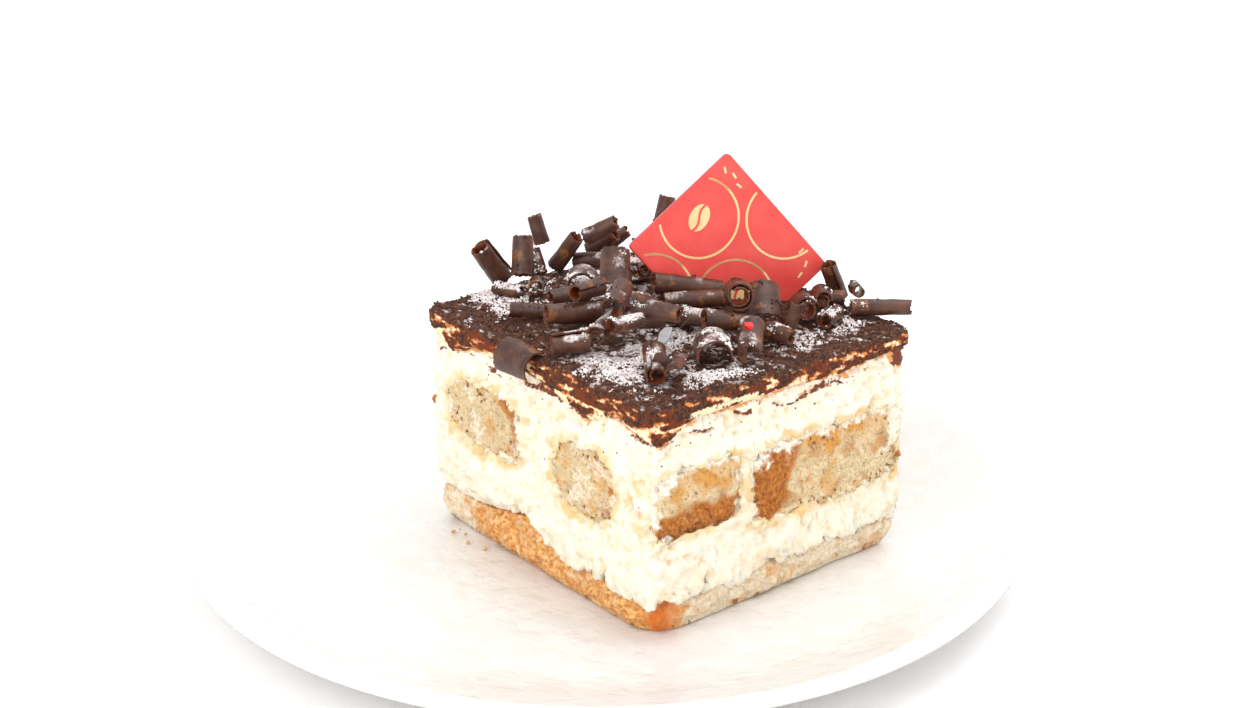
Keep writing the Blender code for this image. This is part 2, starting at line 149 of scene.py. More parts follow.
# Plaque: its own axes are X through its thickness, Y along its width and Z along its height.
PLAQUE_MM = Vector((1.8, 25.4, 29.0))
PLAQUE_CORNER_MM = 0.8
PLAQUE_TURN = Euler((radians(40.4), radians(-10.0), radians(-28.0)))
RING_RADIUS_MM = 7.55
RING_LINE_MM = 0.42
RING_MARGIN_MM = 0.9
# Places on the print, in mm down the two edges that meet at the plaque's upper corner, and a dash's turn.
RING_CENTRES_MM = ((12.1, 5.2), (0.2, 16.8), (17.5, 21.4), (28.0, 9.8))
RINGS_WITH_BEAN = (0, 2)
BEAN_MM = 2.7
BEAN_TURN = radians(20)
DASH_MM = (1.2, 0.4)
DASHES = ((2.6, 2.0, 60), (2.0, 4.0, 80), (2.6, 6.0, 100), (2.0, 23.5, 0), (3.0, 26.0, 30), (5.2, 26.8, 10))
PRINT_MM = 0.06
PRINT_SUNK_MM = 0.02

# Where the cocoa runs further down a cut face: x, y, width and depth in mm.
COCOA_RUNS = (
    (-57.0, 0.0, 3.2, 2.6),
    (-30.0, 0.0, 4.0, 1.6),
    (-19.0, 0.0, 3.4, 4.6),
    (-10.0, 0.0, 2.5, 1.2),
    (0.0, 2.8, 2.4, 4.0),
    (0.0, 45.0, 1.6, 2.6),
    (0.0, 60.0, 2.2, 4.4),
)
# The axis along which each ladyfinger's open end lies: 0 on the left face, 1 on the right face.
FINGERS = {"finger_left": 0, "finger_middle": 0, "finger_right_front": 1, "finger_right_back": 1}
# How squarely each kind of open end is rounded, by its axis: a higher power is squarer.
END_POWERS = (2.6, 5.0)
# Where icing sugar lies thickest: x, y and spread in mm.
SUGAR_PATCHES = (
    (-25.9, 6.4, 4.0),
    (-18.8, 6.3, 5.0),
    (-12.0, 8.0, 5.0),
    (-21.2, 12.8, 4.0),
    (-6.6, 16.2, 5.0),
    (-6.2, 23.8, 5.0),
    (-8.0, 38.8, 4.0),
    (-9.5, 46.5, 4.0),
    (-9.6, 54.5, 4.0),
    (-63.9, 12.0, 3.5),
    (-56.7, 12.5, 6.0),
    (-30.1, 22.4, 6.0),
    (-52.8, 31.3, 6.0),
    (-49.0, 23.5, 5.0),
    (-20.0, 17.4, 5.0),
    (-18.0, 27.4, 5.0),
    (-56.8, 38.2, 5.0),
    (-63.0, 24.0, 4.0),
    (-40.0, 27.0, 5.0),
    (-62.0, 46.0, 4.0),
)
# Where powder is sifted, in mm, and the height above which it lands on a curl.
SIFTED_X_MM = (-66.5, -0.5)
SIFTED_Y_MM = (0.5, 62.0)
SIFTED_FROM_MM = 75.0
CURLS_FROM_MM = 47.5
SUGAR_GRAIN_MM = 0.14
COCOA_GRAIN_MM = 0.17
FACE_SPECKS = 90
LOOSE_CRUMBS = 5


def rgb(code):
    """An sRGB hex colour as linear RGBA."""
    values = [int(code[i : i + 2], 16) / 255 for i in (0, 2, 4)]
    return (*[v / 12.92 if v <= 0.04045 else ((v + 0.055) / 1.055) ** 2.4 for v in values], 1.0)


def colour(name, code, description):
    return bpy.props.FloatVectorProperty(
        name=name, description=description, subtype="COLOR", size=4, min=0.0, max=1.0, default=rgb(code)
    )


def length(name, millimetres, description):
    return bpy.props.FloatProperty(
        name=name, description=description, unit="LENGTH", default=millimetres * MM
    )


def whole(name, value, description):
    return bpy.props.IntProperty(name=name, description=description, default=value, min=1)


def strength(name, value, description):
    return bpy.props.FloatProperty(name=name, description=description, default=value, min=0.0)


def direction(name, degrees, description):
    return bpy.props.FloatProperty(
        name=name, description=description, subtype="ANGLE", default=radians(degrees)
    )


class PlateSettings(bpy.types.PropertyGroup):
    sides: whole("Sides", 256, "Facets round the plate")
    lip_width: length("Lip width", 3.4, "Width of the rolled lip round the plate")
    lip_depth: length("Lip depth", 2.6, "Height of the rolled lip round the plate")
    floor_radius: length("Floor radius", 57.0, "Where the flat floor ends and the rise to the lip starts")
    floor_thickness: length("Thickness", 3.2, "Thickness of the porcelain at the floor")
    foot_radius: length("Foot radius", 47.0, "Outer radius of the ring that the plate stands on")
    foot_width: length("Foot width", 3.5, "Width of the ring that the plate stands on")
    glaze: colour("Glaze", "EAE8E6", "Colour of the white glaze")


class SliceSettings(bpy.types.PropertyGroup):
    cream_grain: length("Cream grain", 0.535, "Facet size of the cream's surface")
    crumb_grain: length("Crumb grain", 0.45, "Facet size of the sponges' and the cocoa's surfaces")
    cream: colour("Cream", "FCF6E5", "Whipped mascarpone cream")
    cream_shade: colour("Cream shade", "F6DDB6", "Cream where its bubbles are deeper")
    finger: colour("Ladyfinger", "D6B886", "Crumb of the ladyfingers")
    soak: colour("Coffee soak", "964A15", "Crumb that has drunk the coffee")
    cocoa: colour("Cocoa", "2C1913", "Sifted cocoa powder")
    rust: colour("Wet cocoa", "74310F", "Cocoa that the cream has moistened")
    sugar: colour("Icing sugar", "E6DAD8", "Sifted icing sugar")


class ToppingSettings(bpy.types.PropertyGroup):
    chocolate: colour("Chocolate", "4C2A1D", "Outside of the chocolate curls")
    inner: colour("Inner chocolate", "6B3014", "Smoother inner side of the curls")
    plaque: colour("Plaque", "F4574F", "Coloured cocoa butter on the plaque")
    gold: colour("Gold print", "FBDDA6", "Printed lines on the plaque")
    sugar_grains: whole("Sugar grains", 9500, "Lumps of icing sugar")
    cocoa_grains: whole("Cocoa grains", 5000, "Lumps of cocoa powder")


class StageSettings(bpy.types.PropertyGroup):
    azimuth: direction("Azimuth", 50.604, "Direction that the camera looks in")
    elevation: direction("Elevation", 21.289, "How far the camera looks down")
    place: bpy.props.FloatVectorProperty(
        name="Camera place",
        description="Where the camera stands",
        unit="LENGTH",
        default=(0.24378, -0.19391, 0.16081),
    )
    lens: bpy.props.FloatProperty(
        name="Lens", description="Focal length of the camera", unit="CAMERA", default=50.0
    )
    table: colour("Table", "FFFFFF", "Plain white table")
    daylight: strength("Daylight", 0.98, "Strength of the even white surroundings")
    window_power: strength("Window", 4.6, "Power of the soft light in front")
    overhead_power: strength("Overhead", 4.6, "Power of the soft light above")


# ---------------------------------------------------------------- shared helpers


def smooth(low, high, value):
    """0 below low, 1 above high, and an even rise between them."""
    share = min(max((value - low) / (high - low), 0.0), 1.0)
    return share * share * (3 - 2 * share)


def rough(place, size, octaves=3):
    """Layered noise, about -1 to 1, whose largest lumps are size mm across."""
    return noise.fractal(place / size, 0.8, 2.0, octaves)


def bubble(place, spacing, share, depth):
    """How deep an open bubble cuts at a place. Bubbles are spacing mm apart, and share of them are open."""
    distances, centres = noise.voronoi(place / spacing)
    if noise.cell(centres[0] * 5.3) > 2 * share - 1:
        return 0.0
    return depth * max(0.0, 1 - (distances[0] / 0.42) ** 2) ** 0.5


def place_of(point):
    """A point of the scene as a place on the slice, in mm."""
    return (point - CORNER) / MM


def point_at(*place):
    """A place on the slice as a point of the scene."""
    return CORNER + Vector(place) * MM


def slice_box(node):
    """The low and high corners of a CAD node's box, as places on the slice."""
    return [place_of(corner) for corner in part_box(node)]


def inward(place):
    """How far inside the nearest cut face a place lies, in mm."""
    return min(-place.x, place.y, place.x + WIDE_MM, DEEP_MM - place.y)


def behind_end(place, axis):
    """How far a place lies behind the face that ladyfingers of this axis open in, in mm."""
    return min(place.y, DEEP_MM - place.y) if axis == 0 else -place.x


def link(obj):
    bpy.context.scene.collection.objects.link(obj)
    return obj


def refined(node, name, grain):
    """A new object with a CAD node's shape, rebuilt with even facets of the given size."""
    obj = link(bpy.data.objects.new(name, frame["nodes"][node].data.copy()))
    remesh = obj.modifiers.new("even facets", "REMESH")
    remesh.mode = "VOXEL"
    remesh.voxel_size = grain * 1.0
    graph = bpy.context.evaluated_depsgraph_get()
    mesh = bpy.data.meshes.new_from_object(obj.evaluated_get(graph))
    obj.modifiers.clear()
    obj.data = mesh
    mesh.materials.clear()
    return obj


def carve(obj, relief):
    """Moves each vertex along its normal by relief(place, normal) millimetres."""
    mesh = obj.data
    normals = [entry.vector.copy() for entry in mesh.vertex_normals]
    for vert, normal in zip(mesh.vertices, normals):
        vert.co += normal * (relief(place_of(vert.co), normal) * MM)
    mesh.shade_smooth()


def store_mask(mesh, name, values):
    """Keeps one value for each vertex, as a mask that the material reads."""
    mesh.attributes.new(name, "FLOAT", "POINT").data.foreach_set("value", values)


def tint(obj, **rules):
    """Stores each rule's value, from place and normal, as a mask."""
    mesh = obj.data
    normals = [entry.vector.copy() for entry in mesh.vertex_normals]
    places = [place_of(obj.matrix_world @ vert.co) for vert in mesh.vertices]
    for name, rule in rules.items():
        store_mask(mesh, name, [rule(*pair) for pair in zip(places, normals)])


def finished(name, bm, material):
    """A new object from a bmesh, with its faces turned outward."""
    bmesh.ops.recalc_face_normals(bm, faces=bm.faces)
    mesh = bpy.data.meshes.new(name)
    bm.to_mesh(mesh)
    bm.free()
    mesh.materials.append(material)
    return link(bpy.data.objects.new(name, mesh))


def smoothed(obj, crease_degrees):
    """Shades an object smooth, but sharp where its faces meet at more than an angle."""
    obj.data.shade_smooth()
    obj.data.set_sharp_from_angle(angle=radians(crease_degrees))
    return obj


def hand_over(piece, slot, *nodes):
    """The piece rides on the object's one body and stands for its CAD nodes, which it hides. The slot is not
    used.
    """
    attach(piece, "root")
    if nodes:
        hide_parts(*nodes)


def add(tree, kind, inputs, output=0, **settings):
    """Adds a node with its settings and gives its output. An input is a value or another node's output."""
    made = tree.nodes.new("ShaderNode" + kind)
    for name, value in settings.items():
        setattr(made, name, value)
    for key, value in inputs.items():
        if isinstance(value, bpy.types.NodeSocket):
            tree.links.new(value, made.inputs[key])
        else:
            made.inputs[key].default_value = value
    return made.outputs[output] if made.outputs else made


def start_material(name):
    """A new material, its node tree and the object coordinates that its patterns lie in."""
    material = bpy.data.materials.new(name)
    material.use_nodes = True
    tree = material.node_tree
    tree.nodes.clear()
    return material, tree, add(tree, "TexCoord", {}, output="Object")


def pattern(tree, spot, size, low, high, detail=3.0):
    """Noise with lumps size mm across, spread between 0 at low and 1 at high."""
    wave = add(tree, "TexNoise", {"Vector": spot, "Scale": 1 / (size * MM), "Detail": detail})
    limits = {"Value": wave, "From Min": low, "From Max": high}
    return add(tree, "MapRange", limits, interpolation_type="SMOOTHSTEP")


def blend_colours(tree, factor, first, second):
    return add(tree, "Mix", {0: factor, 6: first, 7: second}, output=2, data_type="RGBA")


def layered(tree, body, *layers):
    """Colours laid over a base colour in order. Each layer is a mask and its colour."""
    for mask, top in layers:
        body = blend_colours(tree, mask, body, top)
    return body


def masked(tree, name, texture, spread=0.35):
    """A mask from the mesh, broken up by a texture at its edges."""
    mask = add(tree, "Attribute", {}, output="Fac", attribute_name=name)
    total = add(tree, "Math", {0: mask, 1: texture, 2: mask}, operation="MULTIPLY_ADD")
    limits = {"Value": total, "From Min": 1.0 - spread, "From Max": 1.0 + spread}
    return add(tree, "MapRange", limits, interpolation_type="SMOOTHSTEP")


def grain_bump(tree, spot, size, depth, strength=0.6):
    wave = add(tree, "TexNoise", {"Vector": spot, "Scale": 1 / (size * MM), "Detail": 4.0})
    return add(tree, "Bump", {"Height": wave, "Distance": depth * MM, "Strength": strength})


def glow(weight, radius, scale_mm):
    """How light goes into soft food: its share, its reach for red, green and blue, and their scale."""
    return {"Subsurface_Weight": weight, "Subsurface_Radius": radius, "Subsurface_Scale": scale_mm * MM}


def surface(tree, **inputs):
    """The material's one shader, with an underscore for each space in its sockets' names."""
    shader = add(tree, "BsdfPrincipled", {name.replace("_", " "): value for name, value in inputs.items()})
    add(tree, "OutputMaterial", {"Surface": shader})


# ---------------------------------------------------------------- materials


def glazed_porcelain(settings):
    """Fired white glaze on pressed porcelain: a soft gloss, with a hand-dipped glaze's faint ripple."""
    material, tree, spot = start_material("glazed_porcelain")
    ripple = pattern(tree, spot, 5.0, 0.35, 0.65)
    body = blend_colours(tree, ripple, settings.glaze, rgb("E5E3E0"))
    bump = add(tree, "Bump", {"Height": ripple, "Distance": 0.25 * MM, "Strength": 0.7})
    coat = {"Coat_Weight": 0.3, "Coat_Roughness": 0.08}
    surface(tree, Base_Color=body, Roughness=0.22, IOR=1.52, Normal=bump, **coat)
    return material


def whipped_cream(settings):
    """Whipped mascarpone, cut with a knife: warm white, soft in its depth, with painted shade, darker and
    warmer, where bubbles opened.
    """
    material, tree, spot = start_material("whipped_cream")
    fine = pattern(tree, spot, 0.9, 0.25, 0.75, detail=4.0)
    coarse = pattern(tree, spot, 4.0, 0.25, 0.75, detail=5.0)
    body = layered(
        tree,
        settings.cream,
        # Painted shade: darker, warmer cream where the cut face sinks, in open bubbles and hollows.
        (masked(tree, "deep", fine, 0.8), settings.cream_shade),
        (masked(tree, "stain", coarse, 0.6), rgb("EBC98D")),
        (masked(tree, "halo", fine, 0.5), rgb("E9A05C")),
        (masked(tree, "cocoa", fine, 0.25), settings.rust),
    )
    bump = grain_bump(tree, spot, 0.9, 0.4, 0.9)
    surface(tree, Base_Color=body, Roughness=0.55, IOR=1.45, Normal=bump, **glow(0.25, (1.0, 0.8, 0.5), 1.6))
    return material


def soaked_sponge(settings):
    """Thin sponge base wet with coffee syrup: amber crumb with a moist shine, paler where it stayed dry."""
    material, tree, spot = start_material("soaked_sponge")
    fine = pattern(tree, spot, 0.8, 0.3, 0.7, detail=4.0)
    coarse = pattern(tree, spot, 3.2, 0.32, 0.68)
    dry = blend_colours(tree, fine, rgb("DFC49A"), rgb("F6EAD4"))
    wet = blend_colours(tree, fine, rgb("CC7A24"), rgb("F6C67E"))
    body = layered(
        tree,
        dry,
        (masked(tree, "amber", coarse, 0.6), wet),
        # Darker along the top edge, and painted shade in patches along the foot where the base meets the
        # plate.
        (masked(tree, "dark", fine), rgb("A4642A")),
        (masked(tree, "syrup", fine, 0.8), rgb("E07A1E")),
        (masked(tree, "cream", fine, 0.2), settings.cream_shade),
    )
    surface(
        tree,
        Base_Color=body,
        Roughness=0.42,
        IOR=1.4,
        Normal=grain_bump(tree, spot, 0.5, 0.25),
        Coat_Weight=0.15,
        Coat_Roughness=0.3,
        **glow(0.2, (1.0, 0.5, 0.2), 1.0),
    )
    return material


def ladyfinger_crumb(settings):
    """Baked ladyfinger, cut open: dry beige crumb with fine holes, brown and wet where coffee soaked it."""
    material, tree, spot = start_material("ladyfinger_crumb")
    fine = pattern(tree, spot, 0.7, 0.25, 0.75, detail=4.0)
    coarse = pattern(tree, spot, 3.0, 0.25, 0.75, detail=5.0)
    wet = blend_colours(tree, fine, settings.soak, rgb("D08734"))
    specks = pattern(tree, spot, 0.55, 0.55, 0.7)
    body = layered(
        tree,
        settings.finger,
        (fine, rgb("EAD8B4")),
        (masked(tree, "grey", coarse, 0.7), rgb("BFA379")),
        # Painted shade: the crumb's open holes are coloured darker.
        (masked(tree, "hole", fine, 0.5), rgb("B49468")),
        (masked(tree, "gold", fine, 0.9), rgb("DB9B48")),
        (masked(tree, "soak", fine, 0.8), wet),
        (masked(tree, "dark", fine, 0.3), rgb("7A4520")),
        (add(tree, "Math", {0: specks, 1: 0.6}, operation="MULTIPLY"), rgb("8F6434")),
        (masked(tree, "smear", fine, 0.6), settings.cream),
    )
    bump = grain_bump(tree, spot, 0.8, 0.5, 0.9)
    surface(tree, Base_Color=body, Roughness=0.75, IOR=1.4, Normal=bump, **glow(0.15, (1.0, 0.6, 0.3), 0.8))
    return material


def sifted_cocoa(settings):
    """Cocoa powder sifted on cream: dead matt, nearly black when dry, red-brown where the cream wets it."""
    material, tree, spot = start_material("sifted_cocoa")
    fine = pattern(tree, spot, 0.7, 0.25, 0.75, detail=2.0)
    grain = pattern(tree, spot, 0.45, 0.3, 0.7, detail=2.0)
    body = layered(
        tree,
        settings.cocoa,
        (fine, rgb("5E3826")),
        (pattern(tree, spot, 0.5, 0.6, 0.72), rgb("A8683A")),
        (masked(tree, "wet", fine, 0.6), settings.rust),
        (masked(tree, "halo", fine, 0.4), rgb("D98A50")),
        (masked(tree, "bare", fine, 0.25), rgb("F8E3BC")),
        (masked(tree, "sugar", grain, 0.5), settings.sugar),
    )
    surface(tree, Base_Color=body, Roughness=0.9, IOR=1.4, Normal=grain_bump(tree, spot, 0.5, 0.2, 0.6))
    return material


def scraped_chocolate(settings, sugar):
    """Dark milk chocolate scraped into curls: a satin skin with fine blade lines, redder inside."""
    material, tree, spot = start_material("scraped_chocolate")
    stretched = add(tree, "Mapping", {"Vector": spot, "Scale": (5.0, 1.0, 1.0)})
    lines = pattern(tree, stretched, 2.6, 0.25, 0.75, detail=2.0)
    bloom = pattern(tree, spot, 2.8, 0.35, 0.75)
    fine = pattern(tree, spot, 0.6, 0.25, 0.75, detail=2.0)
    body = layered(
        tree,
        settings.chocolate,
        (lines, rgb("3A2018")),
        (bloom, rgb("64402F")),
        (masked(tree, "inside", bloom, 0.4), settings.inner),
        (masked(tree, "cocoa", fine, 0.4), rgb("8A5426")),
        (masked(tree, "dust", fine, 0.5), sugar),
    )
    bump = add(tree, "Bump", {"Height": lines, "Distance": 0.06 * MM, "Strength": 0.5})
    surface(tree, Base_Color=body, Roughness=0.4, IOR=1.46, Normal=bump, **glow(0.12, (1.0, 0.35, 0.15), 0.6))
    return material


def coloured_cocoa_butter(name, pale, deep):
    """Tinted cocoa butter set against a smooth film: an even colour with a soft gloss and a slight bloom."""
    material, tree, spot = start_material(name)
    bloom = pattern(tree, spot, 4.0, 0.3, 0.7, detail=4.0)
    body = blend_colours(tree, bloom, pale, deep)
    bump = grain_bump(tree, spot, 0.6, 0.03, 0.3)
    coat = {"Coat_Weight": 0.15, "Coat_Roughness": 0.25}
    surface(tree, Base_Color=body, Roughness=0.38, IOR=1.46, Normal=bump, **coat)
    return material


def powder(name, pale, deep):
    """A lump of pressed powder or crumb: matt, and uneven in colour from grain to grain."""
    material, tree, spot = start_material(name)
    body = blend_colours(tree, pattern(tree, spot, 1.2, 0.35, 0.65), pale, deep)
    surface(tree, Base_Color=body, Roughness=0.85, IOR=1.45, Normal=grain_bump(tree, spot, 0.15, 0.05))
    return material


def clear_sugar():
    """A chip of set sugar: milky and half clear, like ice."""
    material, tree, spot = start_material("clear_sugar")
    milk = pattern(tree, spot, 1.0, 0.3, 0.7)
    body = blend_colours(tree, milk, rgb("F2F2F4"), rgb("DADBDF"))
    bump = grain_bump(tree, spot, 0.5, 0.1)
    surface(tree, Base_Color=body, Roughness=0.3, IOR=1.5, Transmission_Weight=0.35, Normal=bump)
    return material


# ---------------------------------------------------------------- plate


def plate_profile(settings, radius, rim_top):
    """The plate's section as (radius, height) points, from the underside's middle to the floor's middle."""
    floor_top = FLOOR - 0.3 * MM
    underside = floor_top - settings.floor_thickness
    well = radius - settings.lip_width
    rise_steps = 24

    def well_height(at):
        share = max(0.0, at - settings.floor_radius) / (well - settings.floor_radius)
        return floor_top + (rim_top - 0.5 * MM - floor_top) * min(share, 1.0) ** 1.8

    outer_foot = settings.foot_radius
    inner_foot = outer_foot - settings.foot_width
    points = [(0.0, underside), (inner_foot - 1.5 * MM, underside), (inner_foot - 0.4 * MM, 0.8 * MM)]
    points += [(inner_foot + 0.5 * MM, 0.0), (outer_foot - 0.5 * MM, 0.0), (outer_foot + 0.3 * MM, 0.7 * MM)]
    points.append((outer_foot + 2.0 * MM, underside))
    for step in range(13):
        at = settings.floor_radius + 0.85 * (well - settings.floor_radius) * step / 12
        points.append((at, well_height(at) - settings.floor_thickness + (0.3 + 0.6 * step / 12) * MM))
    for step in range(17):
        angle = radians(-80 + 200 * step / 16)
        across = settings.lip_width / 2 * cos(angle)
        height = rim_top + settings.lip_depth / 2 * (sin(angle) - 1)
        points.append((radius - settings.lip_width / 2 + across, height))
    for step in range(rise_steps + 1):
        at = well - (well - settings.floor_radius) * step / rise_steps
        points.append((at, well_height(at)))
    points += [(settings.floor_radius * share, floor_top) for share in (0.9, 0.75, 0.5, 0.25, 0.0)]
    return points


class TIRAMISU_OT_plate(bpy.types.Operator):
    """Turns the shallow coupe plate and glazes it"""

    bl_idname = "tiramisu.plate"
    bl_label = "Plate"

    def execute(self, context):
        settings = context.scene.tiramisu_plate
        low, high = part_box("plate")
        bm = bmesh.new()
        section = plate_profile(settings, high.x, high.z)
        verts = [bm.verts.new((radius, 0.0, height)) for radius, height in section]
        edges = [bm.edges.new(pair) for pair in zip(verts, verts[1:])]
        about = {"cent": (0, 0, 0), "axis": (0, 0, 1), "angle": tau}
        bmesh.ops.spin(bm, geom=verts + edges, steps=settings.sides, use_merge=True, **about)
        bmesh.ops.remove_doubles(bm, verts=bm.verts, dist=0.001 * MM)
        piece = finished("coupe_plate", bm, glazed_porcelain(settings))
        piece.data.shade_smooth()
        hand_over(piece, "porcelain", "plate")
        return {"FINISHED"}


# ---------------------------------------------------------------- the slice's layers


def streaks(place):
    """Noise whose lumps the knife has dragged out level, about -1 to 1."""
    return noise.fractal(Vector((place.x / 4.0, place.y / 4.0, place.z / 1.3)), 0.8, 2.0, 3)


def cocoa_line(place):
    """The height down to which cocoa covers the cut faces."""
    line = COCOA_EDGE_MM + 1.2 * noise.noise(place / 2.6) + 0.8 * noise.noise(place / 0.9)
    for u, v, width, depth in COCOA_RUNS:
        line -= depth * exp(-((hypot(place.x - u, place.y - v) / width) ** 2))
    return line


def sugar_cover(place):
    """How thickly icing sugar lies at a place on top, 0 to 1."""
    cover = 0.35 * noise.noise(place / 6.0)
    for u, v, spread in SUGAR_PATCHES:
        cover += 0.7 * exp(-((hypot(place.x - u, place.y - v) / spread) ** 2))
    return min(max(cover, 0.0), 1.0)


class TIRAMISU_OT_base(bpy.types.Operator):
    """Models the thin coffee-soaked sponge under the slice"""

    bl_idname = "tiramisu.base"
    bl_label = "Base sponge"

    def execute(self, context):
        settings = context.scene.tiramisu_slice

        def relief(place, normal):
            if abs(normal.z) > 0.8:
                return 0.0
            lumps = 0.8 * rough(place, 4.5, 2) + 0.35 * rough(place, 1.6)
            holes = bubble(place, 2.1, 0.5, 0.8) + bubble(place, 1.1, 0.45, 0.4)
            return (lumps - holes) * smooth(0.0, 1.2, place.z)

        def amber(place, normal):
            on_left = smooth(12.0, 4.0, place.y) * smooth(-60.0, -50.0, place.x)
            return 0.95 * on_left + 0.55 * smooth(0.0, 0.5, rough(place + Vector((4, 4, 0)), 5.0)) + 0.15

        # Darker along the top edge, and painted shade in patches along the foot where the base meets the
        # plate.
        def dark(place, normal):
            top_edge = smooth(5.0, 7.4, place.z) * smooth(6.0, 14.0, place.y)
            foot_shade = smooth(3.0, 0.2, place.z)
            darker_top_edge = top_edge * smooth(-0.3, 0.4, rough(place, 3.0))
            return 0.9 * darker_top_edge + 0.9 * smooth(0.1, 0.5, rough(place, 3.5)) * foot_shade

        def syrup(place, normal):
            away = hypot(place.x + 2.0, place.y - 4.5)
            spots = smooth(0.2, 0.6, rough(place + Vector((9, 9, 9)), 5.0))
            return 1.05 * exp(-((away / 4.2) ** 2)) + 0.5 * spots

        def cream(place, normal):
            blot = smooth(0.32, 0.6, noise.noise(place / 2.2 + Vector((3, 1, 7))))
            return 0.8 * blot * smooth(-12.0, -30.0, place.x)

        piece = refined("base_sponge", "soaked_base", settings.crumb_grain)
        self.wear(piece)
        carve(piece, relief)
        tint(piece, amber=amber, dark=dark, syrup=syrup, cream=cream)
        piece.data.materials.append(soaked_sponge(settings))
        hand_over(piece, "soaked_base", "base_sponge")
        return {"FINISHED"}

    def wear(self, piece):
        """Wears the base's front corner round and draws its lower edge in."""
        low, high = slice_box("base_sponge")
        centre = Vector((high.x - BASE_CORNER_MM, low.y + BASE_CORNER_MM, 0.0))
        for vert in piece.data.vertices:
            place = place_of(vert.co)
            inset = 0.2 + 1.3 * smooth(2.8, 0.0, place.z) + 0.5 * noise.noise(place / 6.0)
            place.x = min(max(place.x, low.x + inset), high.x - inset)
            place.y = min(max(place.y, low.y + inset), high.y - inset)
            away = Vector((place.x - centre.x, place.y - centre.y, 0.0))
            reach = BASE_CORNER_MM - inset
            if away.x > 0 and away.y < 0 and away.length > reach:
                place -= away * (1 - reach / away.length)
            vert.co = point_at(*place)


def cream_relief(place):
    """How far whipped cream stands out from its cut face, in mm: lumps, curds and open bubbles."""
    lumps = 0.5 * noise.noise(place / 5.0) + 0.45 * rough(place, 2.1) + 0.28 * rough(place, 0.9, 2)
    return lumps - bubble(place, 2.3, 0.5, 0.9) - bubble(place, 1.2, 0.55, 0.5)


def finger_outline(node):
    """A rule that tells how near a place lies to the outline of a ladyfinger's open end.

    It gives 0 in the end's middle and 1 on its outline. Off the face that the end lies in, it gives 9.
    """
    low, high = slice_box(node)
    axis = FINGERS[node]
    power = END_POWERS[axis]

    def share(place):
        if behind_end(place, axis) > 8.0:
            return 9.0
        total = 0.0
        for i in (axis, 2):
            total += abs((place[i] - (low[i] + high[i]) / 2) / ((high[i] - low[i]) / 2)) ** power
        return total ** (1 / power)

    return share


class TIRAMISU_OT_cream(bpy.types.Operator):
    """Models the whipped cream that carries the ladyfingers, with its cut, bubbly faces"""

    bl_idname = "tiramisu.cream"
    bl_label = "Cream"

    def execute(self, context):
        settings = context.scene.tiramisu_slice
        ends = [finger_outline(node) for node in FINGERS]

        def relief(place, normal):
            if normal.z > 0.8:
                return 0.0
            on_cut_face = smooth(2.6, 1.6, inward(place))
            return on_cut_face * cream_relief(place)

        # Painted shade: the mask rises where the relief sinks, in the cream's bubbles and hollows.
        def deep(place, normal):
            return 0.4 - 0.6 * cream_relief(place)

        def stain(place, normal):
            wander = 0.2 * noise.noise(place / 1.8)
            by_finger = max(smooth(1.45, 0.95, share(place) + wander) for share in ends)
            low = 0.35 * exp(-(((place.z - 10.0) / 1.5) ** 2))
            return 0.8 * by_finger + low + 0.3 * rough(place, 4.0)

        def cocoa(place, normal):
            above = place.z - cocoa_line(place)
            lower_line = COCOA_EDGE_MM - 2.8 + 1.8 * noise.noise(place / 6.0 + Vector((2, 2, 2)))
            streak = exp(-(((place.z - lower_line) / 0.9) ** 2)) * smooth(-0.1, 0.2, streaks(place))
            return 1.1 * smooth(-0.5, 0.4, above) + 0.95 * streak

        def halo(place, normal):
            above = place.z - cocoa_line(place)
            dragged = smooth(34.5, 38.0, place.z) * smooth(0.05, 0.45, streaks(place))
            return 1.1 * smooth(-1.6, 0.0, above) + 0.8 * dragged

        piece = refined("cream", "mascarpone_cream", settings.cream_grain)
        carve(piece, relief)
        self.droop(piece)
        self.lap(piece)
        tint(piece, deep=deep, stain=stain, halo=halo, cocoa=cocoa)
        piece.data.materials.append(whipped_cream(settings))
        hand_over(piece, "cream", "cream")
        return {"FINISHED"}

    def droop(self, piece):
        """Lets the cream's lower lip hang a little over the base, in soft uneven lobes."""
        for vert in piece.data.vertices:
            place = place_of(vert.co)
            over_thick_base = smooth(-28.0, -42.0, place.x) * smooth(8.0, 4.0, place.y)
            lip = smooth(2.0, 1.0, inward(place)) * smooth(14.5, 9.0, place.z) * (1 - over_thick_base)
            lobe = 2.7 + 1.3 * noise.noise(place / 5.5) + 0.7 * noise.noise(place / 1.7)
            vert.co.z -= max(0.0, lip * lobe) * MM

    def lap(self, piece):
        """Smears the cream a little way over each ladyfinger's outline, by an uneven amount."""
        for node, axis in FINGERS.items():
            share = finger_outline(node)
            low, high = slice_box(node)
            for vert in piece.data.vertices:
                place = place_of(vert.co)
                near = smooth(1.3, 1.02, share(place))
                if near == 0.0 or behind_end(place, axis) > 2.2:
                    continue
                toward = (low + high) / 2 - place
                toward[1 - axis] = 0.0
                reach = near * (0.7 + 1.1 * noise.noise(place / 2.6) + 0.5 * noise.noise(place / 1.0))
                vert.co += toward.normalized() * (max(reach, 0.1) * MM)


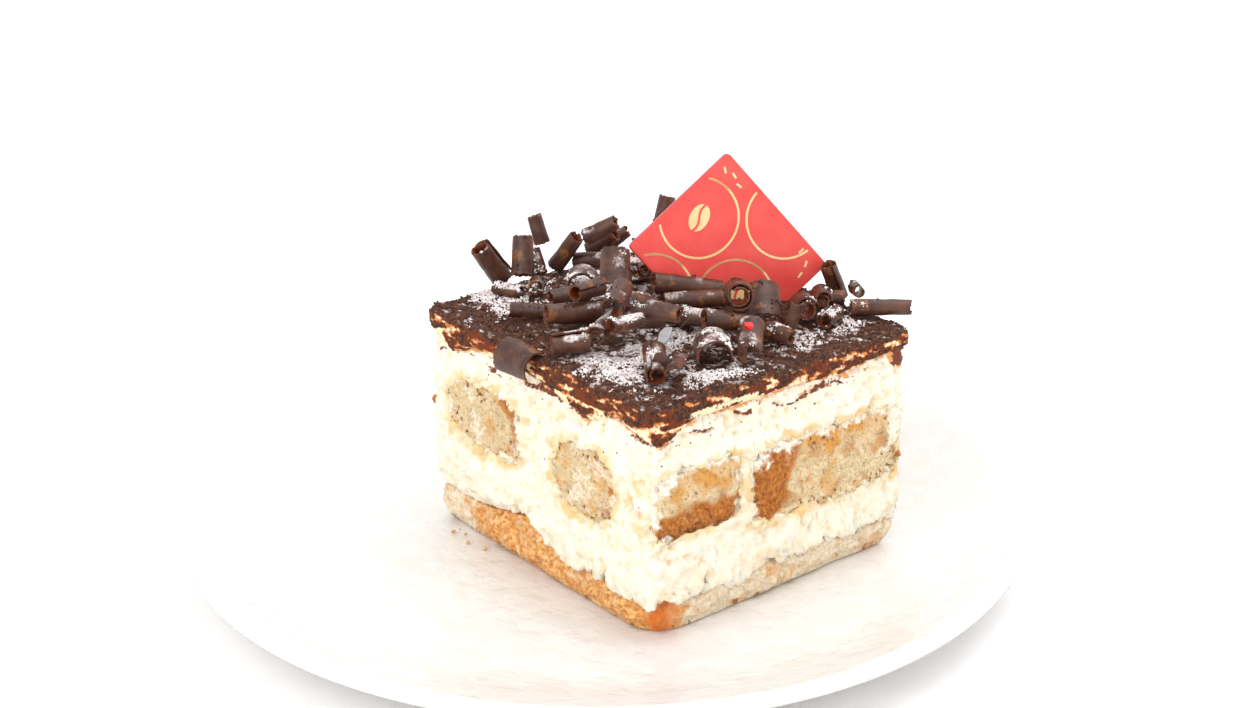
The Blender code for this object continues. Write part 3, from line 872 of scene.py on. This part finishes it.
class TIRAMISU_OT_fingers(bpy.types.Operator):
    """Models the four ladyfinger pieces that the cuts open"""

    bl_idname = "tiramisu.fingers"
    bl_label = "Ladyfingers"

    def execute(self, context):
        settings = context.scene.tiramisu_slice
        crumb = ladyfinger_crumb(settings)
        for node, axis in FINGERS.items():
            self.make(node, axis, settings.crumb_grain, crumb)
        return {"FINISHED"}

    def make(self, node, axis, grain, crumb):
        low, high = slice_box(node)
        ends = 1 - axis
        near = finger_outline(node)

        def relief(place, normal):
            if abs(normal[ends]) < 0.6:
                return 0.5
            crumb = 0.35 * rough(place, 2.6) + 0.15 * rough(place, 0.8, 2) - 0.2
            crumb -= bubble(place, 1.5, 0.45, 0.55) + bubble(place, 0.85, 0.45, 0.35)
            edge = smooth(0.8, 1.0, near(place) + 0.1 * noise.noise(place / 2.0))
            return crumb + (cream_relief(place) - 0.3 - crumb) * edge

        # Painted shade in the crumb's open holes, where the relief carves its bubbles.
        def hole(place, normal):
            return 0.7 * bubble(place, 1.5, 0.45, 1.0) + 0.7 * bubble(place, 0.85, 0.45, 1.0)

        def grey(place, normal):
            return 0.45 if axis == 0 else 0.2

        def smear(place, normal):
            ragged = near(place) + 0.3 * noise.noise(place / 3.4) + 0.2 * noise.noise(place / 1.2)
            if axis == 1:
                ragged += 0.22 * smooth(0.5, 1.0, (place.z - low.z) / (high.z - low.z))
            film = smooth(0.0, 0.4, rough(place + Vector((9, 2, 7)), 5.0))
            return max(0.95 * smooth(0.82, 1.12, ragged), film * (0.6 if axis == 0 else 0.35))

        def gold(place, normal):
            top_edge = smooth(0.35, 0.9, (place.z - low.z) / (high.z - low.z)) if axis == 1 else 0.0
            return 0.6 * top_edge + 0.7 * smooth(0.0, 0.5, rough(place + Vector((5, 0, 5)), 5.0))

        def soak(place, normal):
            if node == "finger_right_front":
                return 1.5 * smooth(25.6, 22.0, place.z + 1.6 * noise.noise(place / 3.0))
            if node == "finger_right_back":
                slant = place.y - 24.0 - 0.45 * (place.z - 14.0)
                band = smooth(-1.0, 1.5, slant + 8.0) * smooth(6.5, 3.0, slant) * smooth(13.0, 16.0, place.z)
                return 1.5 * band + 0.65 * smooth(0.0, 0.5, rough(place + Vector((1, 4, 2)), 4.5))
            rim = smooth(0.55, 0.85, near(place)) * smooth(-0.2, 0.3, noise.noise(place / 3.0))
            return 1.3 * rim * smooth((low.x + high.x) / 2 - 8, high.x, place.x)

        def dark(place, normal):
            if node == "finger_right_front":
                return 0.6 * smooth(23.0, 19.5, place.z) + 0.7 * smooth(0.2, 0.6, rough(place, 1.2))
            top = smooth(0.5, 0.85, (place.z - low.z) / (high.z - low.z))
            specks = smooth(0.15, 0.45, noise.noise(place / 0.9))
            return 0.95 * specks * max(smooth(0.4, 0.8, near(place)), top)

        piece = refined(node, node + "_crumb", grain)
        carve(piece, relief)
        tint(piece, hole=hole, grey=grey, gold=gold, soak=soak, dark=dark, smear=smear)
        piece.data.materials.append(crumb)
        hand_over(piece, "ladyfinger", node)


class TIRAMISU_OT_cocoa(bpy.types.Operator):
    """Models the sifted cocoa on top, with its ragged wet edge"""

    bl_idname = "tiramisu.cocoa"
    bl_label = "Cocoa"

    def execute(self, context):
        settings = context.scene.tiramisu_slice

        def relief(place, normal):
            if normal.z < -0.5:
                return 0.0
            drift = 0.35 * noise.noise(place / 4.0) + 0.28 * rough(place, 1.6) + 0.14 * rough(place, 0.7, 2)
            heap = 0.35 * smooth(0.45, 0.9, sugar_cover(place) + 0.5 * noise.noise(place / 1.3))
            return drift + heap * smooth(0.3, 0.8, normal.z)

        def wet(place, normal):
            side = smooth(0.75, 0.35, normal.z)
            return side * (0.65 + 0.7 * streaks(place)) + 0.5 * smooth(0.1, 0.6, rough(place, 4.0))

        def bare(place, normal):
            side = smooth(0.7, 0.3, normal.z)
            below = place.z - cocoa_line(place)
            ragged = side * (0.9 * smooth(0.5, -0.6, below) + 0.8 * smooth(0.12, 0.45, streaks(place)))
            along = smooth(6.0, 9.0, place.y) * smooth(27.0, 22.0, place.y) * smooth(-2.0, 0.0, place.x)
            gap = exp(-(((place.z - 41.3) / 0.8) ** 2)) * along
            return ragged + 0.95 * side * gap

        def halo(place, normal):
            side = smooth(0.8, 0.4, normal.z)
            low = smooth(1.6, -0.2, place.z - cocoa_line(place))
            return side * (0.5 * low + 0.9 * smooth(0.0, 0.3, streaks(place)))

        def sugar(place, normal):
            upward = smooth(0.35, 0.8, normal.z)
            return upward * min(0.85, 0.75 * sugar_cover(place) + 0.8 * rough(place, 1.8, 3) + 0.08)

        piece = refined("cocoa_topping", "sifted_cocoa_top", settings.crumb_grain)
        carve(piece, relief)
        tint(piece, wet=wet, halo=halo, bare=bare, sugar=sugar)
        piece.data.materials.append(sifted_cocoa(settings))
        hand_over(piece, "cocoa", "cocoa_topping")
        return {"FINISHED"}


# ---------------------------------------------------------------- plaque


def centred(obj, turn, node):
    """Turns a piece and moves it so that its box shares its middle with a CAD node's box."""
    obj.matrix_world = turn.to_matrix().to_4x4()
    points = [obj.matrix_world @ vert.co for vert in obj.data.vertices]
    low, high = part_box(node)
    middle = Vector([(min(p[i] for p in points) + max(p[i] for p in points)) / 2 for i in range(3)])
    obj.matrix_world = Matrix.Translation((low + high) / 2 - middle) @ obj.matrix_world
    return obj


def turned_about(centre, across, up, angle):
    """A point given across and up from a centre, turned about that centre."""
    y = centre[0] + across * cos(angle) - up * sin(angle)
    z = centre[1] + across * sin(angle) + up * cos(angle)
    return (y, z)


def from_upper_corner(down_one, down_other):
    """A point of the print, in mm down the two edges that meet at the plaque's upper corner."""
    return (PLAQUE_MM.y / 2 - down_one, PLAQUE_MM.z / 2 - down_other)


def print_levels():
    """Where the print's underside and its top lie on the plaque's X, in mm."""
    base = PLAQUE_MM.x / 2 - PRINT_SUNK_MM
    return (base, base + PRINT_MM)


def patch(bm, outline):
    """A flat closed patch of print, from (y, z) points in mm on the plaque's front."""
    rows = [[bm.verts.new(Vector((x, y, z)) * MM) for y, z in outline] for x in print_levels()]
    bm.faces.new(rows[0][::-1])
    bm.faces.new(rows[1])
    for i in range(len(outline)):
        j = (i + 1) % len(outline)
        bm.faces.new((rows[0][i], rows[0][j], rows[1][j], rows[1][i]))


def ribbon(bm, centre, angles):
    """A strip of ring line round a centre, along a run of angles."""
    base, top = print_levels()
    rows = []
    for angle in angles:
        outer = turned_about(centre, RING_RADIUS_MM + RING_LINE_MM / 2, 0.0, angle)
        inner = turned_about(centre, RING_RADIUS_MM - RING_LINE_MM / 2, 0.0, angle)
        corners = ((base, outer), (base, inner), (top, inner), (top, outer))
        rows.append([bm.verts.new(Vector((x, *spot)) * MM) for x, spot in corners])
    for first, second in zip(rows, rows[1:]):
        for i in range(4):
            j = (i + 1) % 4
            bm.faces.new((first[i], first[j], second[j], second[i]))
    bm.faces.new(rows[0])
    bm.faces.new(rows[-1])


def arc_runs(centre):
    """The stretches of a ring, as lists of angles, that lie inside the plaque's print area."""
    half = (PLAQUE_MM.y / 2 - RING_MARGIN_MM, PLAQUE_MM.z / 2 - RING_MARGIN_MM)
    steps = 180
    runs, run = [], []
    # Twice round, so that a stretch that passes the starting angle comes whole the second time.
    for step in range(2 * steps):
        angle = tau * step / steps
        y, z = turned_about(centre, RING_RADIUS_MM, 0.0, angle)
        if abs(y) < half[0] and abs(z) < half[1] and len(run) <= steps:
            run.append(angle)
        else:
            runs.append(run)
            run = []
    kept = []
    for run in runs + [run]:
        if len(run) < 3 or run[0] >= tau:
            continue
        if not any(abs(run[0] - other[0] - tau) < 0.05 for other in kept):
            kept.append(run)
    return kept


def bean_halves(centre):
    """The outlines of a coffee bean's two halves, either side of its wavy crease."""
    halves = []
    for side in (1, -1):
        rim = [(cos(a), 0.68 * sin(a)) for a in [pi * step / 24 for step in range(25)]]
        crease = [(-1 + step / 8, 0.13 * sin(pi * (-1 + step / 8)) + 0.09) for step in range(2, 15)]
        points = [(x, side * max(y, 0.1)) for x, y in rim]
        points += [(x, y if side > 0 else y - 0.18) for x, y in crease]
        halves.append([turned_about(centre, BEAN_MM * x, BEAN_MM * y, BEAN_TURN) for x, y in points])
    return halves


class TIRAMISU_OT_plaque(bpy.types.Operator):
    """Models the coloured chocolate plaque and the gold rings printed on it"""

    bl_idname = "tiramisu.plaque"
    bl_label = "Plaque"

    def execute(self, context):
        settings = context.scene.tiramisu_topping
        bm = bmesh.new()
        bmesh.ops.create_cube(bm, size=1.0)
        bmesh.ops.scale(bm, vec=PLAQUE_MM * MM, verts=bm.verts)
        through = [e for e in bm.edges if abs(e.verts[0].co.x - e.verts[1].co.x) > PLAQUE_MM.x * MM / 2]
        rounding = {"profile": 0.5, "affect": "EDGES"}
        bmesh.ops.bevel(bm, geom=through, offset=PLAQUE_CORNER_MM * MM, segments=6, **rounding)
        rims = [e for e in bm.edges if abs(e.verts[0].co.x - e.verts[1].co.x) < 0.01 * MM]
        bmesh.ops.bevel(bm, geom=rims, offset=0.2 * MM, segments=3, **rounding)
        skin = coloured_cocoa_butter("red_cocoa_butter", settings.plaque, rgb("EE4A45"))
        body = coloured_cocoa_butter("deep_red_chocolate", rgb("DE2A2A"), rgb("C92020"))
        plaque = smoothed(finished("chocolate_plaque", bm, skin), 60)
        plaque.data.materials.append(body)
        for face in plaque.data.polygons:
            face.material_index = int(abs(face.normal.x) < 0.9)
        hand_over(centred(plaque, PLAQUE_TURN, "plaque"), "plaque", "plaque")

        bm = bmesh.new()
        self.print_on(bm)
        gold = coloured_cocoa_butter("gold_cocoa_butter", settings.gold, rgb("F6D08E"))
        lines = finished("gold_print", bm, gold)
        lines.matrix_world = plaque.matrix_world
        hand_over(lines, "plaque")
        return {"FINISHED"}

    def print_on(self, bm):
        """Prints the rings, the beans in two of them, and the dashes at two corners."""
        for number, place in enumerate(RING_CENTRES_MM):
            centre = from_upper_corner(*place)
            for run in arc_runs(centre):
                ribbon(bm, centre, run)
            if number in RINGS_WITH_BEAN:
                for half in bean_halves(centre):
                    patch(bm, half)
        long, wide = DASH_MM
        corners = ((-long / 2, -wide / 2), (long / 2, -wide / 2), (long / 2, wide / 2), (-long / 2, wide / 2))
        for down_one, down_other, turn in DASHES:
            centre = from_upper_corner(down_one, down_other)
            patch(bm, [turned_about(centre, across, up, radians(turn)) for across, up in corners])


# ---------------------------------------------------------------- chocolate curls


def shaving(name, row, number, material):
    """A rolled chocolate shaving about local X, fine enough for its blade lines and broken rims."""
    long, radius, turns = row[3:]
    room = END_TAPER * radius - SHAVING_MM - SMALLEST_EYE_MM
    turns = min(turns, UNWOUND + room / WINDING_PITCH_MM)
    around = max(10, round(turns * STEPS_PER_TURN))
    across = max(8, round(long / 0.5))
    bm = bmesh.new()
    inside = bm.verts.layers.float.new("inside")
    grids = []
    for face in (0, 1):
        grid = []
        for i in range(around + 1):
            turned = turns * i / around
            angle = tau * turned
            outer = radius - WINDING_PITCH_MM * max(0.0, turned - UNWOUND)
            wear = END_WEAR_MM * noise.noise(Vector((number * 3.7, turned * 4.0, 0.5)))
            line = []
            for j in range(across + 1):
                share = j / across
                rim = min(share, 1 - share, 0.5 * i / around + 0.02, 0.52 - 0.5 * i / around)
                thickness = SHAVING_MM * (0.55 + 0.45 * smooth(0.0, 0.06, rim))
                x = (share - 0.5) * (long + wear)
                seed = Vector((x * 0.5, angle * radius * 0.35, number * 5.1))
                swell = 0.10 * noise.noise(seed) + 0.05 * noise.noise(Vector((x * 2.2, turned * 1.5, number)))
                chip = smooth(0.06, 0.0, min(share, 1 - share)) * 0.35 * noise.noise(seed * 6.0)
                reach = outer * (1 - (1 - END_TAPER) * share) + swell - face * thickness
                vert = bm.verts.new(Vector((x + chip, reach * cos(angle), reach * sin(angle))) * MM)
                vert[inside] = float(face)
                line.append(vert)
            grid.append(line)
        grids.append(grid)
    for i in range(around):
        for j in range(across):
            for grid in grids:
                bm.faces.new((grid[i][j], grid[i][j + 1], grid[i + 1][j + 1], grid[i + 1][j]))
    outer, inner = grids
    border = [(i, 0) for i in range(around)] + [(around, j) for j in range(across)]
    border += [(around - i, across) for i in range(around)] + [(0, across - j) for j in range(across)]
    for (i, j), (k, m) in zip(border, border[1:] + border[:1]):
        bm.faces.new((outer[i][j], outer[k][m], inner[k][m], inner[i][j]))
    return smoothed(finished(name, bm, material), 50)


def dust(obj):
    """Masks for where icing sugar lies on a curl's upper side, and where cocoa clings to it."""
    mesh = obj.data
    turn = obj.matrix_world.to_3x3()
    sugar, cocoa = [], []
    for vert, entry, inner in zip(mesh.vertices, mesh.vertex_normals, mesh.attributes["inside"].data):
        place = place_of(obj.matrix_world @ vert.co)
        upward = smooth(0.1, 0.75, (turn @ entry.vector).z) * (1 - 0.6 * inner.value)
        cover = 0.6 * sugar_cover(place) + 0.9 * noise.noise(place / 3.2)
        sugar.append(min(max(0.0, upward * cover), 0.85))
        cocoa.append(0.7 * smooth(0.1, 0.5, noise.noise(place / 3.1 + Vector((7, 7, 7)))))
    store_mask(mesh, "dust", sugar)
    store_mask(mesh, "cocoa", cocoa)


class TIRAMISU_OT_curls(bpy.types.Operator):
    """Rolls the chocolate curls and the broad flake in the left edge"""

    bl_idname = "tiramisu.curls"
    bl_label = "Chocolate curls"

    def execute(self, context):
        settings = context.scene.tiramisu_topping
        chocolate = scraped_chocolate(settings, context.scene.tiramisu_slice.sugar)
        rows = {"edge_flake": EDGE_FLAKE}
        rows.update({f"curl_{number:02d}": row for number, row in enumerate(CURLS, start=1)})
        for number, (node, row) in enumerate(rows.items()):
            heading, tilt, roll = row[:3]
            piece = shaving(node.replace("curl", "shaving") + "_rolled", row, number, chocolate)
            centred(piece, Euler((radians(roll), radians(-tilt), radians(heading))), node)
            dust(piece)
            hand_over(piece, "chocolate", node)
        return {"FINISHED"}


# ---------------------------------------------------------------- grains and bits


def lump_template():
    """The corners and faces of a twenty-sided lump of unit radius."""
    bm = bmesh.new()
    bmesh.ops.create_icosphere(bm, subdivisions=1, radius=1.0)
    corners = [vert.co.copy() for vert in bm.verts]
    faces = [[vert.index for vert in face.verts] for face in bm.faces]
    bm.free()
    return corners, faces


class Heap:
    """Many small rough lumps gathered into one mesh."""

    def __init__(self):
        self.corners, self.faces = lump_template()
        self.points, self.polygons = [], []

    def drop(self, place, size, flat, turn):
        """Adds a lump of a radius in metres, squashed by flat, at a place."""
        first = len(self.points)
        for corner in self.corners:
            wobble = 1 + 0.4 * noise.noise(corner * 1.3 + place * 900.0)
            squashed = Vector((corner.x, corner.y, corner.z * flat))
            self.points.append(place + turn @ (squashed * (size * wobble)))
        self.polygons += [[first + index for index in face] for face in self.faces]

    def piece(self, name, material):
        mesh = bpy.data.meshes.new(name)
        mesh.from_pydata(self.points, [], self.polygons)
        mesh.shade_smooth()
        mesh.materials.append(material)
        return link(bpy.data.objects.new(name, mesh))


def top_surface():
    """One tree of everything that powder can settle on: the cocoa and the curls."""
    points, faces = [], []
    for obj in bpy.context.scene.objects:
        if obj.type == "MESH" and obj.name.startswith(("sifted_cocoa", "shaving", "edge_flake_rolled")):
            first = len(points)
            points += [obj.matrix_world @ vert.co for vert in obj.data.vertices]
            faces += [[first + index for index in face.vertices] for face in obj.data.polygons]
    return BVHTree.FromPolygons(points, faces)


def random_turn(random):
    return Euler([random.uniform(0, tau) for _ in range(3)]).to_matrix()


class TIRAMISU_OT_powder(bpy.types.Operator):
    """Sifts icing sugar and cocoa grains over the top, and cocoa specks over the cut faces"""

    bl_idname = "tiramisu.powder"
    bl_label = "Sugar and cocoa grains"

    def execute(self, context):
        settings = context.scene.tiramisu_topping
        colours = context.scene.tiramisu_slice
        random = Random(11)
        tree = top_surface()
        share = 1.0
        down = Vector((0, 0, -1))

        def sift(heap, count, cover, size_mm):
            """Drops grains where cover says, until count of them have landed."""
            landed = 0
            while landed < count:
                spot = Vector((random.uniform(*SIFTED_X_MM), random.uniform(*SIFTED_Y_MM), 0.0))
                ragged = cover(spot) + 0.4 * noise.noise(spot / 1.4) + 0.5 * noise.noise(spot / 3.5)
                if random.random() > ragged:
                    continue
                hit, normal, _, _ = tree.ray_cast(point_at(spot.x, spot.y, SIFTED_FROM_MM), down)
                if hit is None or normal.z < 0.35:
                    continue
                on_curl = hit.z > CORNER.z + CURLS_FROM_MM * MM
                if on_curl and noise.noise(place_of(hit) / 3.0) < 0.22:
                    continue
                size = size_mm * MM * random.lognormvariate(0.0, 0.4)
                heap.drop(hit + normal * size * 0.3, size, random.uniform(0.5, 0.9), random_turn(random))
                landed += 1

        sugar = Heap()
        count = int(settings.sugar_grains * share)
        sift(sugar, count, lambda spot: 1.1 * sugar_cover(spot) - 0.35, SUGAR_GRAIN_MM)
        material = powder("icing_sugar", colours.sugar, rgb("FFFCFA"))
        hand_over(sugar.piece("icing_sugar_grains", material), "cocoa")

        cocoa = Heap()
        sift(cocoa, int(settings.cocoa_grains * share), lambda spot: 0.35, COCOA_GRAIN_MM)
        self.speck_faces(cocoa, random)
        material = powder("cocoa_grains", colours.cocoa, rgb("5A3322"))
        hand_over(cocoa.piece("cocoa_grains", material), "cocoa")
        return {"FINISHED"}

    def speck_faces(self, heap, random):
        """Single grains that the knife dragged down the two cut faces."""
        mesh = bpy.data.objects["mascarpone_cream"].data
        tree = BVHTree.FromPolygons([v.co for v in mesh.vertices], [f.vertices for f in mesh.polygons])
        for number in range(FACE_SPECKS):
            along, fall = random.uniform(1.5, 60.0), random.expovariate(1 / 4.0)
            height = max(COCOA_EDGE_MM - fall, 12.0)
            if number % 2:
                start, ahead = Vector((-along, -8.0, height)), Vector((0, 1, 0))
            else:
                start, ahead = Vector((8.0, along, height)), Vector((-1, 0, 0))
            hit, normal, _, distance = tree.ray_cast(CORNER + start * MM, ahead)
            if hit is not None and distance < 12 * MM:
                size = random.uniform(0.08, 0.2) * MM
                heap.drop(hit + normal * size * 0.2, size, 0.7, random_turn(random))


class TIRAMISU_OT_bits(bpy.types.Operator):
    """Adds the chip of clear sugar, the red fleck, the standing splinter and the loose crumbs"""

    bl_idname = "tiramisu.bits"
    bl_label = "Small bits"

    def execute(self, context):
        random = Random(5)
        red = coloured_cocoa_butter("red_sugar_fleck", rgb("E8281E"), rgb("D91D14"))
        clear = clear_sugar()
        crumb = powder("sponge_crumb", rgb("C08348"), rgb("98592C"))
        chocolate = bpy.data.materials["scraped_chocolate"]
        for row in (
            ("red_fleck", (-6.4, 27.0, 51.0), 1.1, 0.8, (20, 30, 10), red, "plaque", 2),
            ("sugar_chip", (-16.6, 17.0, 48.6), 2.3, 0.35, (50, 25, -35), clear, "plaque", 7),
            ("orange_crumb", (0.9, 59.0, 20.2), 0.95, 0.8, (0, 0, 0), crumb, "ladyfinger", 4),
            ("brown_crumb", (-66.2, 1.6, 24.5), 1.7, 0.6, (90, 20, 0), crumb, "ladyfinger", 9),
            ("chocolate_splinter", (-8.6, 9.4, 47.6), 2.7, 0.16, (84, 12, 30), chocolate, "chocolate", 3),
        ):
            self.bit(*row)
        crumbs = Heap()
        for _ in range(LOOSE_CRUMBS):
            along, away = random.uniform(48, 64), random.uniform(-0.5, 2.0)
            size = random.uniform(0.2, 0.5) * MM
            crumbs.drop(point_at(-along, -away, 0.3), size, 0.8, random_turn(random))
        material = powder("loose_crumb", rgb("E5CFA0"), rgb("C99858"))
        hand_over(crumbs.piece("loose_crumbs", material), "ladyfinger")
        return {"FINISHED"}

    def bit(self, name, place, radius_mm, flat, turn_degrees, material, slot, seed):
        """One rough-broken bit, with chipped faces, at a place on the slice."""
        random = Random(seed)
        turn = Euler([radians(angle) for angle in turn_degrees]).to_matrix()
        bm = bmesh.new()
        for _ in range(14):
            spot = Vector([random.gauss(0, 1) for _ in range(3)]).normalized() * random.uniform(0.75, 1.0)
            bm.verts.new(turn @ Vector((spot.x, spot.y, spot.z * flat)) * (radius_mm * MM))
        bmesh.ops.convex_hull(bm, input=bm.verts)
        chipped = 0.06 * radius_mm * MM
        bmesh.ops.bevel(bm, geom=bm.edges, offset=chipped, segments=2, profile=0.5, affect="EDGES")
        piece = finished(name, bm, material)
        piece.location = point_at(*place)
        hand_over(piece, slot)


# ---------------------------------------------------------------- stage


class TIRAMISU_OT_stage(bpy.types.Operator):
    """Lays a plain white table, soft light from the front and above, and the camera"""

    bl_idname = "tiramisu.stage"
    bl_label = "Stage"

    def execute(self, context):
        settings = context.scene.tiramisu_stage
        scene = context.scene
        scene.view_settings.view_transform = "Standard"
        self.table(settings)
        world = bpy.data.worlds.new("white_studio")
        scene.world = world
        world.use_nodes = True
        background = world.node_tree.nodes["Background"]
        background.inputs["Color"].default_value = (1.0, 1.0, 1.0, 1.0)
        background.inputs["Strength"].default_value = settings.daylight
        self.light("window", (0.30, -0.80, 0.75), 1.0, settings.window_power)
        self.light("overhead", (0.1, 0.35, 1.0), 1.0, settings.overhead_power)
        camera = bpy.data.cameras.new("camera")
        camera.lens = settings.lens
        camera.sensor_width = 36.0
        camera.clip_start = 0.01
        view = link(bpy.data.objects.new("camera", camera))
        azimuth, elevation = settings.azimuth, settings.elevation
        level = cos(elevation)
        ahead = Vector((-sin(azimuth) * level, cos(azimuth) * level, -sin(elevation)))
        view.location = settings.place
        view.rotation_euler = ahead.to_track_quat("-Z", "Y").to_euler()
        scene.camera = view
        return {"FINISHED"}

    def table(self, settings):
        bm = bmesh.new()
        bmesh.ops.create_grid(bm, x_segments=8, y_segments=8, size=3.0)
        material, tree, spot = start_material("white_table")
        weave = pattern(tree, spot, 6.0, 0.2, 0.8)
        body = blend_colours(tree, weave, settings.table, rgb("FBFAF9"))
        surface(tree, Base_Color=body, Roughness=0.8)
        finished("table", bm, material)

    def light(self, name, place, size, power):
        lamp = bpy.data.lights.new(name, "AREA")
        lamp.shape = "DISK"
        lamp.size = size
        lamp.energy = power
        obj = link(bpy.data.objects.new(name, lamp))
        obj.location = place
        middle = Vector((0.0, 0.0, 0.03))
        obj.rotation_euler = (middle - obj.location).to_track_quat("-Z", "Y").to_euler()


class TIRAMISU_PT_panel(bpy.types.Panel):
    bl_label = "Tiramisu Slice"
    bl_idname = "TIRAMISU_PT_panel"
    bl_space_type = "VIEW_3D"
    bl_region_type = "UI"
    bl_category = "Tiramisu"

    def draw(self, context):
        for name in SETTINGS:
            box = self.layout.box()
            group = getattr(context.scene, name)
            for prop in group.__annotations__:
                box.prop(group, prop)
        for operator in OPERATORS:
            self.layout.operator(operator.bl_idname)


SETTINGS = {
    "tiramisu_plate": PlateSettings,
    "tiramisu_slice": SliceSettings,
    "tiramisu_topping": ToppingSettings,
    "tiramisu_stage": StageSettings,
}
OPERATORS = (
    TIRAMISU_OT_plate,
    TIRAMISU_OT_base,
    TIRAMISU_OT_cream,
    TIRAMISU_OT_fingers,
    TIRAMISU_OT_cocoa,
    TIRAMISU_OT_plaque,
    TIRAMISU_OT_curls,
    TIRAMISU_OT_powder,
    TIRAMISU_OT_bits,
    TIRAMISU_OT_stage,
)


def register():
    for cls in (*SETTINGS.values(), *OPERATORS, TIRAMISU_PT_panel):
        bpy.utils.register_class(cls)
    for name, cls in SETTINGS.items():
        setattr(bpy.types.Scene, name, bpy.props.PointerProperty(type=cls))


def unregister():
    for name in SETTINGS:
        delattr(bpy.types.Scene, name)
    for cls in (TIRAMISU_PT_panel, *reversed(OPERATORS), *SETTINGS.values()):
        bpy.utils.unregister_class(cls)


def main():
    for obj in list(bpy.context.scene.objects):
        if obj.name in ("Cube", "Light", "Camera"):
            bpy.data.objects.remove(obj, do_unlink=True)
    register()
    for operator in OPERATORS:
        getattr(bpy.ops.tiramisu, operator.bl_idname.split(".")[1])()


if __name__ == "__main__":
    main()
